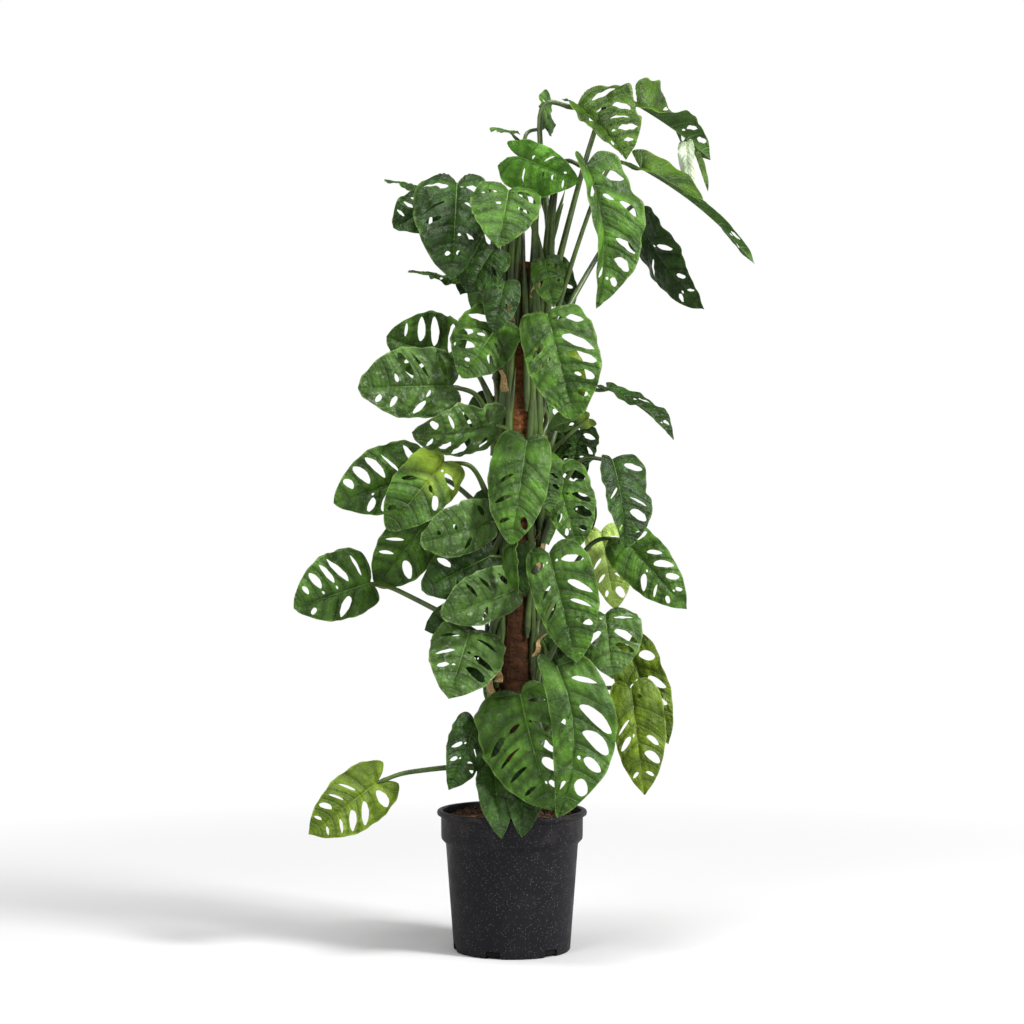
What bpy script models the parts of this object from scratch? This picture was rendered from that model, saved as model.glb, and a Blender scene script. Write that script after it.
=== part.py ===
"""A Monstera adansonii that climbs a coir pole, in its black nursery pot.

The plant is built the way it grows: three stems stand in holes in the soil and run up the pole,
each stem carries its leaf stalks, and each stalk ends at one perforated blade. All lengths are in
millimetres until a mesh is made. The frame has +Z up and -Y to the front, and its origin is the
centre of the pot's underside.
"""

import math
from collections import namedtuple

import bmesh
import bpy
from mathutils import Matrix, Vector
from mathutils.bvhtree import BVHTree
from mathutils.geometry import delaunay_2d_cdt

# Driving dimensions, in millimetres
MM = 0.001
TOUCH = 0.3
POT_SIDES = 36
FOOT_RADIUS = 93.5
SHOULDER_RADIUS = 106.0
SHOULDER_HEIGHT = 172.0
COLLAR_RADIUS = 113.7
COLLAR_FOOT = 177.8
RIM_RADIUS = 120.0
RIM_HEIGHT = 219.6
RIM_BEAD = 4.4
WALL = 2.2
FLOOR = 3.0
NOTCH_COUNT = 6
NOTCH_WIDTH = 25.0
NOTCH_HEIGHT = 12.0
NOTCH_TURN = -18.7
SOIL_EDGE = 210.0
SOIL_CROWN = 217.0
POLE_SIDES = 24
POLE_RADIUS = 32.0
POLE_BORE = 13.4
STAKE_RADIUS = 13.0
POLE_FOOT = Vector((-6.6, 5.0, 45.0))
POLE_HEAD = Vector((15.5, 5.0, 1100.0))
STEM_SIDES = 8
STEM_FOOT_RADIUS = 6.5
STEM_HEAD_RADIUS = 4.0
STEM_FOOT = 172.0
STEM_STEP = 70.0
STALK_SIDES = 5
STALK_RADIUS = 2.5
STALK_TIP_RADIUS = 1.1
STALK_STEPS = 6
BLADE = 0.9
RIB = 1.8

# Half of a blade's outline from its notch to its tip: share of the length, share of the half width
HALF_OUTLINE = (
    (-0.050, 0.20),
    (-0.080, 0.48),
    (-0.030, 0.78),
    (0.100, 0.96),
    (0.280, 1.00),
    (0.480, 0.95),
    (0.690, 0.75),
    (0.875, 0.40),
)
RIB_POINTS = (0.25, 0.50, 0.75)

# One hole or two between a pair of side veins: inner end, outer end, half width
HOLES = {
    ".": (),
    "i": ((0.12, 0.32, 0.15),),
    "s": ((0.24, 0.80, 0.11),),
    "o": ((0.32, 0.74, 0.20),),
    "O": ((0.26, 0.82, 0.27),),
    "W": ((0.16, 0.86, 0.33),),
    "b": ((0.44, 0.84, 0.26), (0.12, 0.30, 0.14)),
}
HOLE_SPAN = 0.86
VEIN_LEAN = 0.30

COLOURS = {
    "mature": (0.070, 0.150, 0.045),
    "dark": (0.030, 0.075, 0.022),
    "fresh": (0.130, 0.320, 0.060),
    "lime": (0.360, 0.520, 0.120),
    "olive": (0.130, 0.190, 0.035),
}

Vine = namedtuple("Vine", "azimuth drift top")
VINES = {
    "left": Vine(212.0, -18.0, 1075.0),
    "right": Vine(338.0, 10.0, 1085.0),
    "back": Vine(92.0, 25.0, 1090.0),
}

# A blade: where its stalk meets it, its tip, its half widths seen from above, its holes from
# stalk to tip, its stem and its colour. roll turns its face away from the front and twist turns
# it further towards the tip. arch and sway bow the midrib, fold lifts the halves, curl turns the
# margins down. heart deepens the basal lobes and blunt under 1 fills out the tip. rise is the
# height that the stalk climbs, and lead the direction in which it meets the blade.
Leaf = namedtuple(
    "Leaf",
    "name base tip left right left_holes right_holes vine colour"
    " roll arch sway fold curl twist heart blunt rise lead",
    defaults=(0.0, 0.07, 0.0, 14.0, 32.0, 0.0, 1.0, 1.0, None, None),
)
LEAVES = (
    Leaf("leaf_01", (104, 10, 1351), (180, -60, 1255), 76, 44, "ObsOo", ".o.o", "right", "mature",
         roll=-38, fold=36, curl=20, arch=0.06, rise=330),
    Leaf("leaf_02", (202, 20, 1356), (326, 90, 1278), 62, 42, ".s.Oo", "..oO", "right", "dark",
         roll=-50, fold=40, curl=24, arch=0.03, twist=-100, heart=1.3, rise=400),
    Leaf("leaf_03", (205, -20, 1248), (382, -60, 1091), 40, 26, "..oso", ".o.o", "right", "mature",
         roll=-42, fold=34, curl=24, arch=0.04, sway=0.03, twist=-95, heart=1.4, rise=360),
    Leaf("leaf_04", (116, -90, 1242), (131, -110, 1016), 66, 36, "Ob.OOo", "s.s", "right", "mature",
         roll=-38, fold=34, curl=24, sway=0.05, rise=330),
    Leaf("leaf_05", (208, 40, 1170), (309, 10, 1026), 44, 44, ".o.os", ".s.o", "right", "dark",
         roll=50, fold=14, curl=30, arch=0.08, rise=290),
    Leaf("leaf_06", (54, 40, 1322), (56, 70, 1390), 30, 30, ".o.", ".o.", "right", "mature",
         roll=66, fold=8, curl=20, arch=0.03, rise=260),
    Leaf("leaf_07", (1, 30, 1312), (-35, 60, 1325), 24, 24, "..", "..", "back", "mature",
         roll=72, fold=6, curl=20, arch=0.03, heart=0.3, lead=(-0.5, -0.2, 0.8)),
    Leaf("leaf_08", (9, -40, 1264), (107, -100, 1214), 32, 54, "s..", "s..", "right", "fresh",
         roll=8, fold=18, curl=36, arch=0.08, heart=3.0, rise=250),
    Leaf("leaf_09", (-87, -30, 1223), (-92, -130, 1056), 56, 68, "Os.oi", "Wso.i", "left", "dark",
         roll=0, fold=14, curl=34, arch=0.1, heart=1.3, rise=250),
    Leaf("leaf_10", (-5, -100, 1202), (-21, -170, 1103), 54, 56, "Oo..", "oi..", "left", "mature",
         roll=0, fold=14, curl=30, arch=0.08, rise=230),
    Leaf("leaf_11", (-136, 60, 1211), (-211, 120, 1247), 36, 36, ".o.", ".o.", "left", "dark",
         roll=74, fold=10, curl=24, rise=280),
    Leaf("leaf_12", (-108, 0, 1193), (-188, -40, 1150), 34, 44, ".oo.", ".oos", "left", "dark",
         roll=10, fold=12, curl=26, blunt=0.75, rise=230),
    Leaf("leaf_13", (-78, 10, 1068), (-165, -50, 1079), 34, 36, ".s.", ".s.", "left", "mature",
         roll=78, fold=6, curl=20, arch=0.03),
    Leaf("leaf_14", (-31, -60, 1113), (-70, -80, 1042), 38, 42, ".O..", ".o..", "left", "dark",
         roll=10, fold=12, curl=26),
    Leaf("leaf_15", (-96, 10, 941), (-200, -20, 980), 44, 68, ".oo.", "WWWs", "left", "mature",
         roll=-6, fold=14, curl=32, arch=0.06, blunt=0.8),
    Leaf("leaf_16", (-94, -70, 898), (-239, -120, 892), 50, 64, ".b.oo", "OsWi.", "left", "mature",
         roll=0, fold=14, curl=34, arch=0.08, blunt=0.72),
    Leaf("leaf_17", (-18, -70, 999), (-78, -110, 908), 46, 56, ".so.", "WbWi", "left", "mature",
         roll=0, fold=14, curl=30, blunt=0.85),
    Leaf("leaf_18", (-26, -90, 836), (-154, -150, 823), 50, 50, "oWOs", "OssO", "left", "dark",
         roll=-42, fold=14, curl=40, arch=0.08, blunt=0.8),
    Leaf("leaf_19", (54, -110, 1008), (96, -160, 841), 66, 52, "bWWOo", ".os.s", "right", "mature",
         roll=0, fold=14, curl=34, arch=0.1, heart=0.5, blunt=0.75),
    Leaf("leaf_20", (121, -60, 848), (55, -30, 830), 26, 28, "...", ".o.", "right", "olive",
         roll=130, fold=12, curl=26),
    Leaf("leaf_21", (109, 45, 833), (99, 25, 752), 36, 36, "OWO.", "OWO.", "right", "dark",
         roll=20, fold=14, curl=26),
    Leaf("leaf_22", (154, 30, 899), (258, -10, 815), 40, 36, ".o.o", ".o..", "right", "dark",
         roll=-68, fold=20, curl=24, rise=190),
    Leaf("leaf_23", (159, -40, 784), (177, -70, 643), 54, 30, "O.sWo", ".s.s", "right", "dark",
         roll=-30, fold=22, curl=30, heart=0.4, blunt=0.8, rise=200),
    Leaf("leaf_24", (177, 0, 658), (277, -40, 546), 42, 44, "WoWOo", "..Oso", "right", "mature",
         roll=0, fold=12, curl=30, rise=220),
    Leaf("leaf_25", (144, 50, 668), (167, 20, 541), 44, 30, "O.sW", ".sso", "right", "lime",
         roll=0, fold=12, curl=26),
    Leaf("leaf_26", (65, -68, 766), (102, -86, 644), 52, 32, "WOWo", ".ooo", "right", "mature",
         roll=-10, fold=14, curl=30, blunt=0.85),
    Leaf("leaf_27", (23, -100, 811), (-1, -130, 649), 44, 52, "...O", ".sss", "left", "mature",
         roll=0, fold=14, curl=34, arch=0.08, blunt=0.85),
    Leaf("leaf_28", (38, -85, 788), (59, -95, 700), 36, 34, ".oo.", ".o..", "right", "mature",
         roll=-30, fold=16, curl=26),
    Leaf("leaf_29", (4, -75, 578), (-110, -145, 540), 34, 50, ".s.", "oss.", "left", "mature",
         roll=-8, fold=14, curl=36, arch=0.08, blunt=0.65),
    Leaf("leaf_30", (-140, 0, 761), (-282, -50, 714), 46, 66, "..WO.", "OsWWO", "left", "mature",
         roll=0, fold=12, curl=36, arch=0.1, blunt=0.85),
    Leaf("leaf_31", (-106, -60, 779), (-196, -90, 672), 48, 48, "Ob..", ".o.o", "left", "olive",
         roll=0, fold=12, curl=30, blunt=0.85),
    Leaf("leaf_32", (-135, 30, 687), (-219, 36, 579), 48, 46, "o.W.", ".ss.", "left", "mature",
         roll=0, fold=12, curl=30, blunt=0.8),
    Leaf("leaf_33", (-34, -80, 686), (-142, -150, 652), 38, 46, ".o..", "o.ii", "left", "dark",
         roll=-12, fold=14, curl=40, arch=0.08, blunt=0.65),
    Leaf("leaf_34", (-34, -60, 631), (-141, -100, 578), 44, 46, ".os.", ".iO.", "left", "dark",
         roll=0, fold=12, curl=30, blunt=0.75),
    Leaf("leaf_35", (-226, -10, 587), (-345, -50, 548), 44, 68, ".W.o", "sWOOo", "left", "mature",
         roll=0, fold=12, curl=34, arch=0.08, heart=0.6, blunt=0.85),
    Leaf("leaf_36", (-67, -80, 512), (-98, -130, 411), 66, 54, "sOW.", "sso.", "left", "mature",
         roll=0, fold=12, curl=32, arch=0.08),
    Leaf("leaf_37", (13, -85, 415), (62, -158, 241), 50, 84, "sOOWo", ".bsss", "left", "mature",
         roll=10, fold=12, curl=34, arch=0.08),
    Leaf("leaf_38", (69, -130, 462), (69, -176, 233), 68, 34, "sWWOW", ".o.s", "right", "mature",
         roll=0, fold=16, curl=30, sway=0.11, blunt=0.85, rise=150),
    Leaf("leaf_39", (188, -40, 421), (209, -60, 254), 48, 38, "i.oWs", ".sO.s", "right", "olive",
         roll=0, fold=12, curl=30),
    Leaf("leaf_40", (187, 10, 485), (250, -10, 329), 42, 40, "OOo.", ".o..", "right", "olive",
         roll=10, fold=14, curl=26),
    Leaf("leaf_41", (146, -60, 539), (156, -120, 441), 56, 48, "sWW.", "OW..", "right", "mature",
         roll=0, fold=12, curl=34, arch=0.1, rise=170),
    Leaf("leaf_42", (57, -110, 636), (101, -140, 466), 62, 42, "OOsO.", "OsW..", "right", "mature",
         roll=0, fold=14, curl=32),
    Leaf("leaf_43", (2, -112, 649), (10, -130, 573), 22, 20, "..", "..", "left", "mature",
         roll=55, fold=20, curl=20),
    Leaf("leaf_44", (17, -38, 648), (21, -38, 565), 14, 14, "..", "..", "right", "dark",
         roll=0, fold=10, curl=20, arch=0.02),
    Leaf("leaf_45", (-59, -58, 369), (-99, -96, 266), 36, 34, ".oO.", ".oo.", "left", "dark",
         roll=-20, fold=14, curl=30),
    Leaf("leaf_46", (-29, -66, 300), (-16, -150, 197), 28, 30, "s.", "..", "left", "dark",
         roll=0, fold=18, curl=30),
    Leaf("leaf_47", (15, -92, 303), (15, -150, 199), 36, 24, ".o.", "..", "right", "dark",
         roll=0, fold=10, curl=30),
    Leaf("leaf_48", (-213, -40, 272), (-319, -80, 195), 50, 46, "WWWss", ".ssOs", "left", "olive",
         roll=0, fold=12, curl=30, arch=0.06, heart=2.3, lead=(-0.85, -0.1, -0.25)),
    Leaf("leaf_49", (-72, -40, 542), (-138, -60, 514), 28, 28, "..", ".o.", "left", "dark",
         roll=0, fold=14, curl=26),
    Leaf("leaf_50", (37, 70, 556), (57, 130, 405), 46, 44, ".OO.", "oO..", "back", "dark",
         roll=168, fold=12, curl=30),
    Leaf("leaf_51", (-6, 80, 474), (-16, 140, 338), 44, 46, "oO..", ".OO.", "back", "dark",
         roll=190, fold=12, curl=30),
    Leaf("leaf_52", (30, 75, 769), (61, 130, 645), 44, 42, ".Oo.", "oO..", "back", "mature",
         roll=172, fold=12, curl=30),
    Leaf("leaf_53", (4, 75, 989), (1, 135, 866), 42, 44, "oO..", ".OO.", "back", "mature",
         roll=184, fold=12, curl=30),
)


def material(name, colour, roughness):
    """A plain Principled material in the part's own colour."""
    made = bpy.data.materials.new(name)
    made.use_nodes = True
    shader = made.node_tree.nodes["Principled BSDF"]
    shader.inputs["Base Color"].default_value = (*colour, 1.0)
    shader.inputs["Roughness"].default_value = roughness
    made.diffuse_color = (*colour, 1.0)
    return made


def soften(mesh):
    """Shades round sides smooth and keeps real edges sharp."""
    mesh.shade_smooth()
    mesh.set_sharp_from_angle(angle=math.radians(40.0))


def add_solid(name, points, faces, finish):
    """A mesh object from points in millimetres."""
    mesh = bpy.data.meshes.new(name)
    mesh.from_pydata([Vector(point) * MM for point in points], [], faces)
    mesh.materials.append(finish)
    soften(mesh)
    made = bpy.data.objects.new(name, mesh)
    bpy.context.scene.collection.objects.link(made)
    return made


def add_turned(name, profile, sides, finish):
    """A closed profile of (radius, height) points, spun about the Z axis."""
    work = bmesh.new()
    ring = [work.verts.new((radius * MM, 0.0, height * MM)) for radius, height in profile]
    edges = [work.edges.new((ring[i - 1], ring[i])) for i in range(len(ring))]
    bmesh.ops.spin(
        work,
        geom=ring + edges,
        cent=(0.0, 0.0, 0.0),
        axis=(0.0, 0.0, 1.0),
        angle=math.tau,
        steps=sides,
        use_merge=True,
    )
    bmesh.ops.remove_doubles(work, verts=work.verts, dist=0.01 * MM)
    bmesh.ops.recalc_face_normals(work, faces=work.faces)
    mesh = bpy.data.meshes.new(name)
    work.to_mesh(mesh)
    work.free()
    mesh.materials.append(finish)
    soften(mesh)
    made = bpy.data.objects.new(name, mesh)
    bpy.context.scene.collection.objects.link(made)
    return made


def hide_helper(helper):
    """Keeps a cutter out of the finished part."""
    helper.hide_render = True
    helper.display_type = "WIRE"


def cut(target, cutter):
    hide_helper(cutter)
    difference = target.modifiers.new("Cut " + cutter.name, "BOOLEAN")
    difference.operation = "DIFFERENCE"
    difference.object = cutter


def tube_mesh(route, radii, sides, pointed_by=0.0):
    """Points and faces of a round tube along a route, with a flat foot and a flat or pointed head."""
    points = []
    across = None
    for i, centre in enumerate(route):
        ahead = route[min(i + 1, len(route) - 1)] - route[max(i - 1, 0)]
        ahead.normalize()
        if across is None:
            across = ahead.orthogonal().normalized()
        across = (across - ahead * across.dot(ahead)).normalized()
        over = ahead.cross(across)
        for k in range(sides):
            angle = math.tau * k / sides
            points.append(centre + (across * math.cos(angle) + over * math.sin(angle)) * radii[i])
    faces = [tuple(reversed(range(sides)))]
    for i in range(len(route) - 1):
        low, high = i * sides, (i + 1) * sides
        for k in range(sides):
            after = (k + 1) % sides
            faces.append((low + k, low + after, high + after, high + k))
    last = (len(route) - 1) * sides
    if pointed_by:
        points.append(route[-1] + (route[-1] - route[-2]).normalized() * pointed_by)
        for k in range(sides):
            faces.append((last + k, last + (k + 1) % sides, len(points) - 1))
    else:
        faces.append(tuple(range(last, last + sides)))
    return points, faces


def smooth_route(stations, steps):
    """Points along one smooth curve through the stations, spaced evenly between each pair."""
    padded = [stations[0] * 2 - stations[1], *stations, stations[-1] * 2 - stations[-2]]
    route = []
    spans = len(stations) - 1
    for step in range(steps + 1):
        place = spans * step / steps
        span = min(int(place), spans - 1)
        t = place - span
        a, b, c, d = padded[span : span + 4]
        route.append(
            b
            + (c - a) * (0.5 * t)
            + (a * 2 - b * 5 + c * 4 - d) * (0.5 * t * t)
            + (b * 3 - a - c * 3 + d) * (0.5 * t * t * t)
        )
    return route


def make_pot():
    """A thin moulded pot: tapered body, collar, rolled rim and drain notches at the foot."""
    inner_foot = FOOT_RADIUS - WALL
    profile = [
        (0.0, 0.0),
        (FOOT_RADIUS - 3.0, 0.0),
        (FOOT_RADIUS, 4.0),
        (SHOULDER_RADIUS, SHOULDER_HEIGHT),
        (COLLAR_RADIUS - 1.5, COLLAR_FOOT),
        (COLLAR_RADIUS, RIM_HEIGHT - RIM_BEAD),
        (RIM_RADIUS - 1.2, RIM_HEIGHT - 3.2),
        (RIM_RADIUS, RIM_HEIGHT),
        (RIM_RADIUS - 1.2, RIM_HEIGHT + 3.2),
        (RIM_RADIUS - 4.0, RIM_HEIGHT + RIM_BEAD),
        (COLLAR_RADIUS - WALL, RIM_HEIGHT + 2.4),
        (COLLAR_RADIUS - 1.5 - WALL, COLLAR_FOOT),
        (SHOULDER_RADIUS - WALL, SHOULDER_HEIGHT - 1.5),
        (inner_foot, FLOOR),
        (0.0, FLOOR),
    ]
    plastic = material("black_recycled_plastic", (0.032, 0.031, 0.035), 0.55)
    pot = add_turned("pot", profile, POT_SIDES, plastic)
    work = bmesh.new()
    for k in range(NOTCH_COUNT):
        turn = math.radians(NOTCH_TURN - 90.0 + k * 360.0 / NOTCH_COUNT)
        box = bmesh.ops.create_cube(work, size=1.0)["verts"]
        bmesh.ops.scale(work, vec=(30.0 * MM, NOTCH_WIDTH * MM, 2 * NOTCH_HEIGHT * MM), verts=box)
        place = Matrix.Rotation(turn, 4, "Z") @ Matrix.Translation((FOOT_RADIUS * MM, 0.0, 0.0))
        bmesh.ops.transform(work, matrix=place, verts=box)
    mesh = bpy.data.meshes.new("drain_notches")
    work.to_mesh(mesh)
    work.free()
    notches = bpy.data.objects.new("drain_notches", mesh)
    bpy.context.scene.collection.objects.link(notches)
    cut(pot, notches)
    return pot


def soil_height(radius, angle):
    """The soil's surface: heaped in the middle, with soft lumps."""
    lumps = 1.6 * math.sin(3 * angle + radius * 0.07) + 1.2 * math.cos(5 * angle - radius * 0.11)
    heap = (SOIL_CROWN - SOIL_EDGE) * (1.0 - (radius / COLLAR_RADIUS) ** 2)
    return SOIL_EDGE + heap + lumps * min(1.0, radius / 30.0)


def make_soil(stems):
    """Peat that fills the pot, with a plain hole for the pole and for each stem."""
    gap = TOUCH + 0.1
    wall = WALL + gap
    top = COLLAR_RADIUS - wall - 0.6
    profile = [
        (0.0, FLOOR + TOUCH),
        (FOOT_RADIUS - wall, FLOOR + TOUCH),
        (SHOULDER_RADIUS - wall, SHOULDER_HEIGHT - 1.5),
        (COLLAR_RADIUS - 1.5 - wall, COLLAR_FOOT + TOUCH),
        (top, SOIL_EDGE),
        (86.0, SOIL_EDGE),
        (62.0, SOIL_EDGE),
        (0.0, SOIL_EDGE),
    ]
    peat = material("moist_peat", (0.065, 0.030, 0.018), 0.95)
    soil = add_turned("soil", profile, POT_SIDES, peat)
    for vertex in soil.data.vertices:
        if vertex.co.z > (SOIL_EDGE - 1.0) * MM:
            radius = math.hypot(vertex.co.x, vertex.co.y) / MM
            angle = math.atan2(vertex.co.y, vertex.co.x)
            vertex.co.z = soil_height(radius, angle) * MM
    socket = add_turned("pole_socket", round_bar(POLE_RADIUS + gap, 0.0, 400.0), POLE_SIDES, peat)
    stand_on_pole(socket, -TOUCH)
    cut(soil, socket)
    for name, route, radii in stems:
        wide = [radius + gap for radius in radii]
        deep = [route[0] - Vector((0.0, 0.0, gap)), *route[1:]]
        points, faces = tube_mesh(deep, wide, STEM_SIDES)
        cut(soil, add_solid("socket_" + name, points, faces, peat))
    return soil


def round_bar(radius, foot, head):
    return [(0.0, foot), (radius, foot), (radius, head), (0.0, head)]


def stand_on_pole(target, lift):
    """Turns an upright piece to the pole's lean and puts its foot on the pole's foot."""
    lean = (POLE_HEAD - POLE_FOOT).normalized()
    target.rotation_mode = "QUATERNION"
    target.rotation_quaternion = Vector((0.0, 0.0, 1.0)).rotation_difference(lean)
    target.location = (POLE_FOOT + lean * lift) * MM


def make_pole():
    """The coir sleeve and the stake inside it."""
    length = (POLE_HEAD - POLE_FOOT).length
    coir = material("coir", (0.250, 0.095, 0.045), 0.95)
    sleeve = [
        (POLE_BORE, 0.0),
        (POLE_RADIUS, 0.0),
        (POLE_RADIUS, length - 7.0),
        (POLE_RADIUS - 4.0, length - 1.5),
        (POLE_RADIUS - 9.0, length),
        (POLE_BORE, length),
    ]
    stand_on_pole(add_turned("coir_sleeve", sleeve, POLE_SIDES, coir), 0.0)
    wood = material("pine_stake", (0.350, 0.230, 0.120), 0.7)
    stake = round_bar(STAKE_RADIUS, 0.0, length - 3.0)
    stand_on_pole(add_turned("pole_stake", stake, 16, wood), 0.0)


def pole_axis(height):
    share = (height - POLE_FOOT.z) / (POLE_HEAD.z - POLE_FOOT.z)
    return POLE_FOOT.lerp(POLE_HEAD, share)


def stem_radius(vine, height):
    share = (height - STEM_FOOT) / (vine.top - STEM_FOOT)
    return STEM_FOOT_RADIUS + (STEM_HEAD_RADIUS - STEM_FOOT_RADIUS) * share


def stem_point(vine, height):
    """The centre of a stem that climbs the coir and slowly winds round it."""
    azimuth = math.radians(vine.azimuth + vine.drift * (height - STEM_FOOT) * MM)
    out = Vector((math.cos(azimuth), math.sin(azimuth), 0.0))
    return pole_axis(height) + out * (POLE_RADIUS + 2 * TOUCH + stem_radius(vine, height))


def stem_route(vine):
    count = round((vine.top - STEM_FOOT) / STEM_STEP)
    heights = [STEM_FOOT + (vine.top - STEM_FOOT) * i / count for i in range(count + 1)]
    return [stem_point(vine, z) for z in heights], [stem_radius(vine, z) for z in heights]


def leaf_axes(leaf):
    """The blade's own directions: along its midrib, up from its face, and to its left."""
    along = (Vector(leaf.tip) - Vector(leaf.base)).normalized()
    front = Vector((0.0, -1.0, 0.0))
    up = (front - along * front.dot(along)).normalized()
    up.rotate(Matrix.Rotation(math.radians(leaf.roll), 3, along))
    return along, up, up.cross(along)


def blade_point(leaf, u, v):
    """Where a point of the flat blade lies: u along the midrib, v to its left, both in mm."""
    along, up, left = leaf_axes(leaf)
    length = (Vector(leaf.tip) - Vector(leaf.base)).length
    t = u / length
    bow = 4.0 * t * (1.0 - t) * length
    slope = 4.0 * leaf.arch * (1.0 - 2.0 * t)
    middle = Vector(leaf.base) + along * u + up * (leaf.arch * bow) + left * (leaf.sway * bow)
    half = leaf.left if v > 0 else leaf.right
    side = math.copysign(1.0, v)
    share = abs(v) / half
    fold = math.radians(leaf.fold)
    curl = math.radians(leaf.curl)
    out = half / curl * (math.sin(fold) - math.sin(fold - curl * share))
    rise = half / curl * (math.cos(fold - curl * share) - math.cos(fold))
    seed = leaf.base[0] + leaf.tip[2]
    rise += 0.05 * half * share**2 * math.sin(15.0 * t + seed + 2.0 * side)
    turn = Matrix.Rotation(math.radians(leaf.twist) * t, 3, along)
    across = turn @ (left * side)
    face = turn @ (up - along * slope).normalized()
    return middle + across * out + face * rise


def margin_share(leaf, t):
    """The outline's half width at t, as a share of the widest."""
    reach = (*half_outline(leaf)[1:], (1.0, 0.0))
    for (t0, w0), (t1, w1) in zip(reach, reach[1:]):
        if t <= t1:
            return w0 + (w1 - w0) * max(0.0, t - t0) / (t1 - t0)
    return 0.0


def vein_place(leaf, start, share):
    """A point on a side vein, from the midrib (share 0) to the margin (share 1)."""
    ramp = min(1.0, max(-0.4, (start - 0.04 * leaf.heart) / 0.2))
    t = start + VEIN_LEAN * (1.0 - start) * ramp * share**1.3
    return t, share * margin_share(leaf, t)


def hole_loops(leaf, length):
    """The holes of a blade as loops of flat points."""
    loops = []
    for code, half in ((leaf.left_holes, leaf.left), (leaf.right_holes, -leaf.right)):
        band = HOLE_SPAN / max(1, len(code))
        for k, letter in enumerate(code):
            start = (k + 0.5) * band
            for inner, outer, wide in HOLES[letter]:
                loop = []
                for u, side in ((0.0, 0), (0.28, 1), (0.74, 1), (1.0, 0), (0.74, -1), (0.28, -1)):
                    t, s = vein_place(leaf, start, inner + (outer - inner) * u)
                    loop.append(((t + side * wide * band) * length, s * half))
                loops.append(loop)
    return loops


def half_outline(leaf):
    """Half of this blade's outline: heart deepens its lobes, blunt under 1 fills out its tip."""
    return [(t * leaf.heart if t < 0 else t**leaf.blunt, s) for t, s in HALF_OUTLINE]


def outline_loop(leaf, length):
    half = half_outline(leaf)
    left = [(t * length, s * leaf.left) for t, s in half]
    right = [(t * length, -s * leaf.right) for t, s in reversed(half)]
    return [(0.0, 0.0), *left, (length, 0.0), *right]


def inside(loop, x, y):
    hit = False
    for (x0, y0), (x1, y1) in zip(loop, loop[1:] + loop[:1]):
        if (y0 > y) != (y1 > y) and x < x0 + (x1 - x0) * (y - y0) / (y1 - y0):
            hit = not hit
    return hit


def flat_blade(leaf):
    """The blade's flat points and triangles, with its holes left open."""
    length = (Vector(leaf.tip) - Vector(leaf.base)).length
    outline = outline_loop(leaf, length)
    holes = hole_loops(leaf, length)
    rib = [(t * length, 0.0) for t in RIB_POINTS]
    flat = list(outline)
    edges = [(i, (i + 1) % len(outline)) for i in range(len(outline))]
    for loop in holes:
        first = len(flat)
        flat += loop
        edges += [(first + i, first + (i + 1) % len(loop)) for i in range(len(loop))]
    chain = [0, *range(len(flat), len(flat) + len(rib)), len(HALF_OUTLINE) + 1]
    flat += rib
    edges += list(zip(chain, chain[1:]))
    found = delaunay_2d_cdt([Vector(point) for point in flat], edges, [], 0, 1e-5)
    points, triangles = found[0], found[2]
    kept = []
    for triangle in triangles:
        a, b, c = (points[i] for i in triangle)
        x, y = (a + b + c) / 3.0
        if not inside(outline, x, y) or any(inside(loop, x, y) for loop in holes):
            continue
        turned = (b - a).cross(c - a) < 0
        kept.append(tuple(reversed(triangle)) if turned else tuple(triangle))
    return points, kept


def blade_mesh(leaf):
    """A thin solid blade, split into the same triangles on both faces."""
    flat, triangles = flat_blade(leaf)
    length = (Vector(leaf.tip) - Vector(leaf.base)).length
    middle = [blade_point(leaf, u, v) for u, v in flat]
    normals = [Vector() for _ in middle]
    for a, b, c in triangles:
        normal = (middle[b] - middle[a]).cross(middle[c] - middle[a])
        for i in (a, b, c):
            normals[i] += normal
    upper, lower = [], []
    for (u, v), centre, normal in zip(flat, middle, normals):
        on_rib = abs(v) < 0.01 and 0.0 < u < length
        half = BLADE / 2 + (RIB - BLADE) / 2 * (1.0 - u / length) * on_rib
        upper.append(centre + normal.normalized() * half)
        lower.append(centre - normal.normalized() * half)
    count = len(flat)
    faces = list(triangles)
    faces += [(c + count, b + count, a + count) for a, b, c in triangles]
    directed = {(t[i], t[(i + 1) % 3]) for t in triangles for i in range(3)}
    for a, b in directed:
        if (b, a) not in directed:
            faces += [(b, a, a + count), (b, a + count, b + count)]
    return upper + lower, faces


def drop_unused(points, faces):
    """Leaves out points that no face uses."""
    used = sorted({i for face in faces for i in face})
    place = {old: new for new, old in enumerate(used)}
    return [points[i] for i in used], [tuple(place[i] for i in face) for face in faces]


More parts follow.
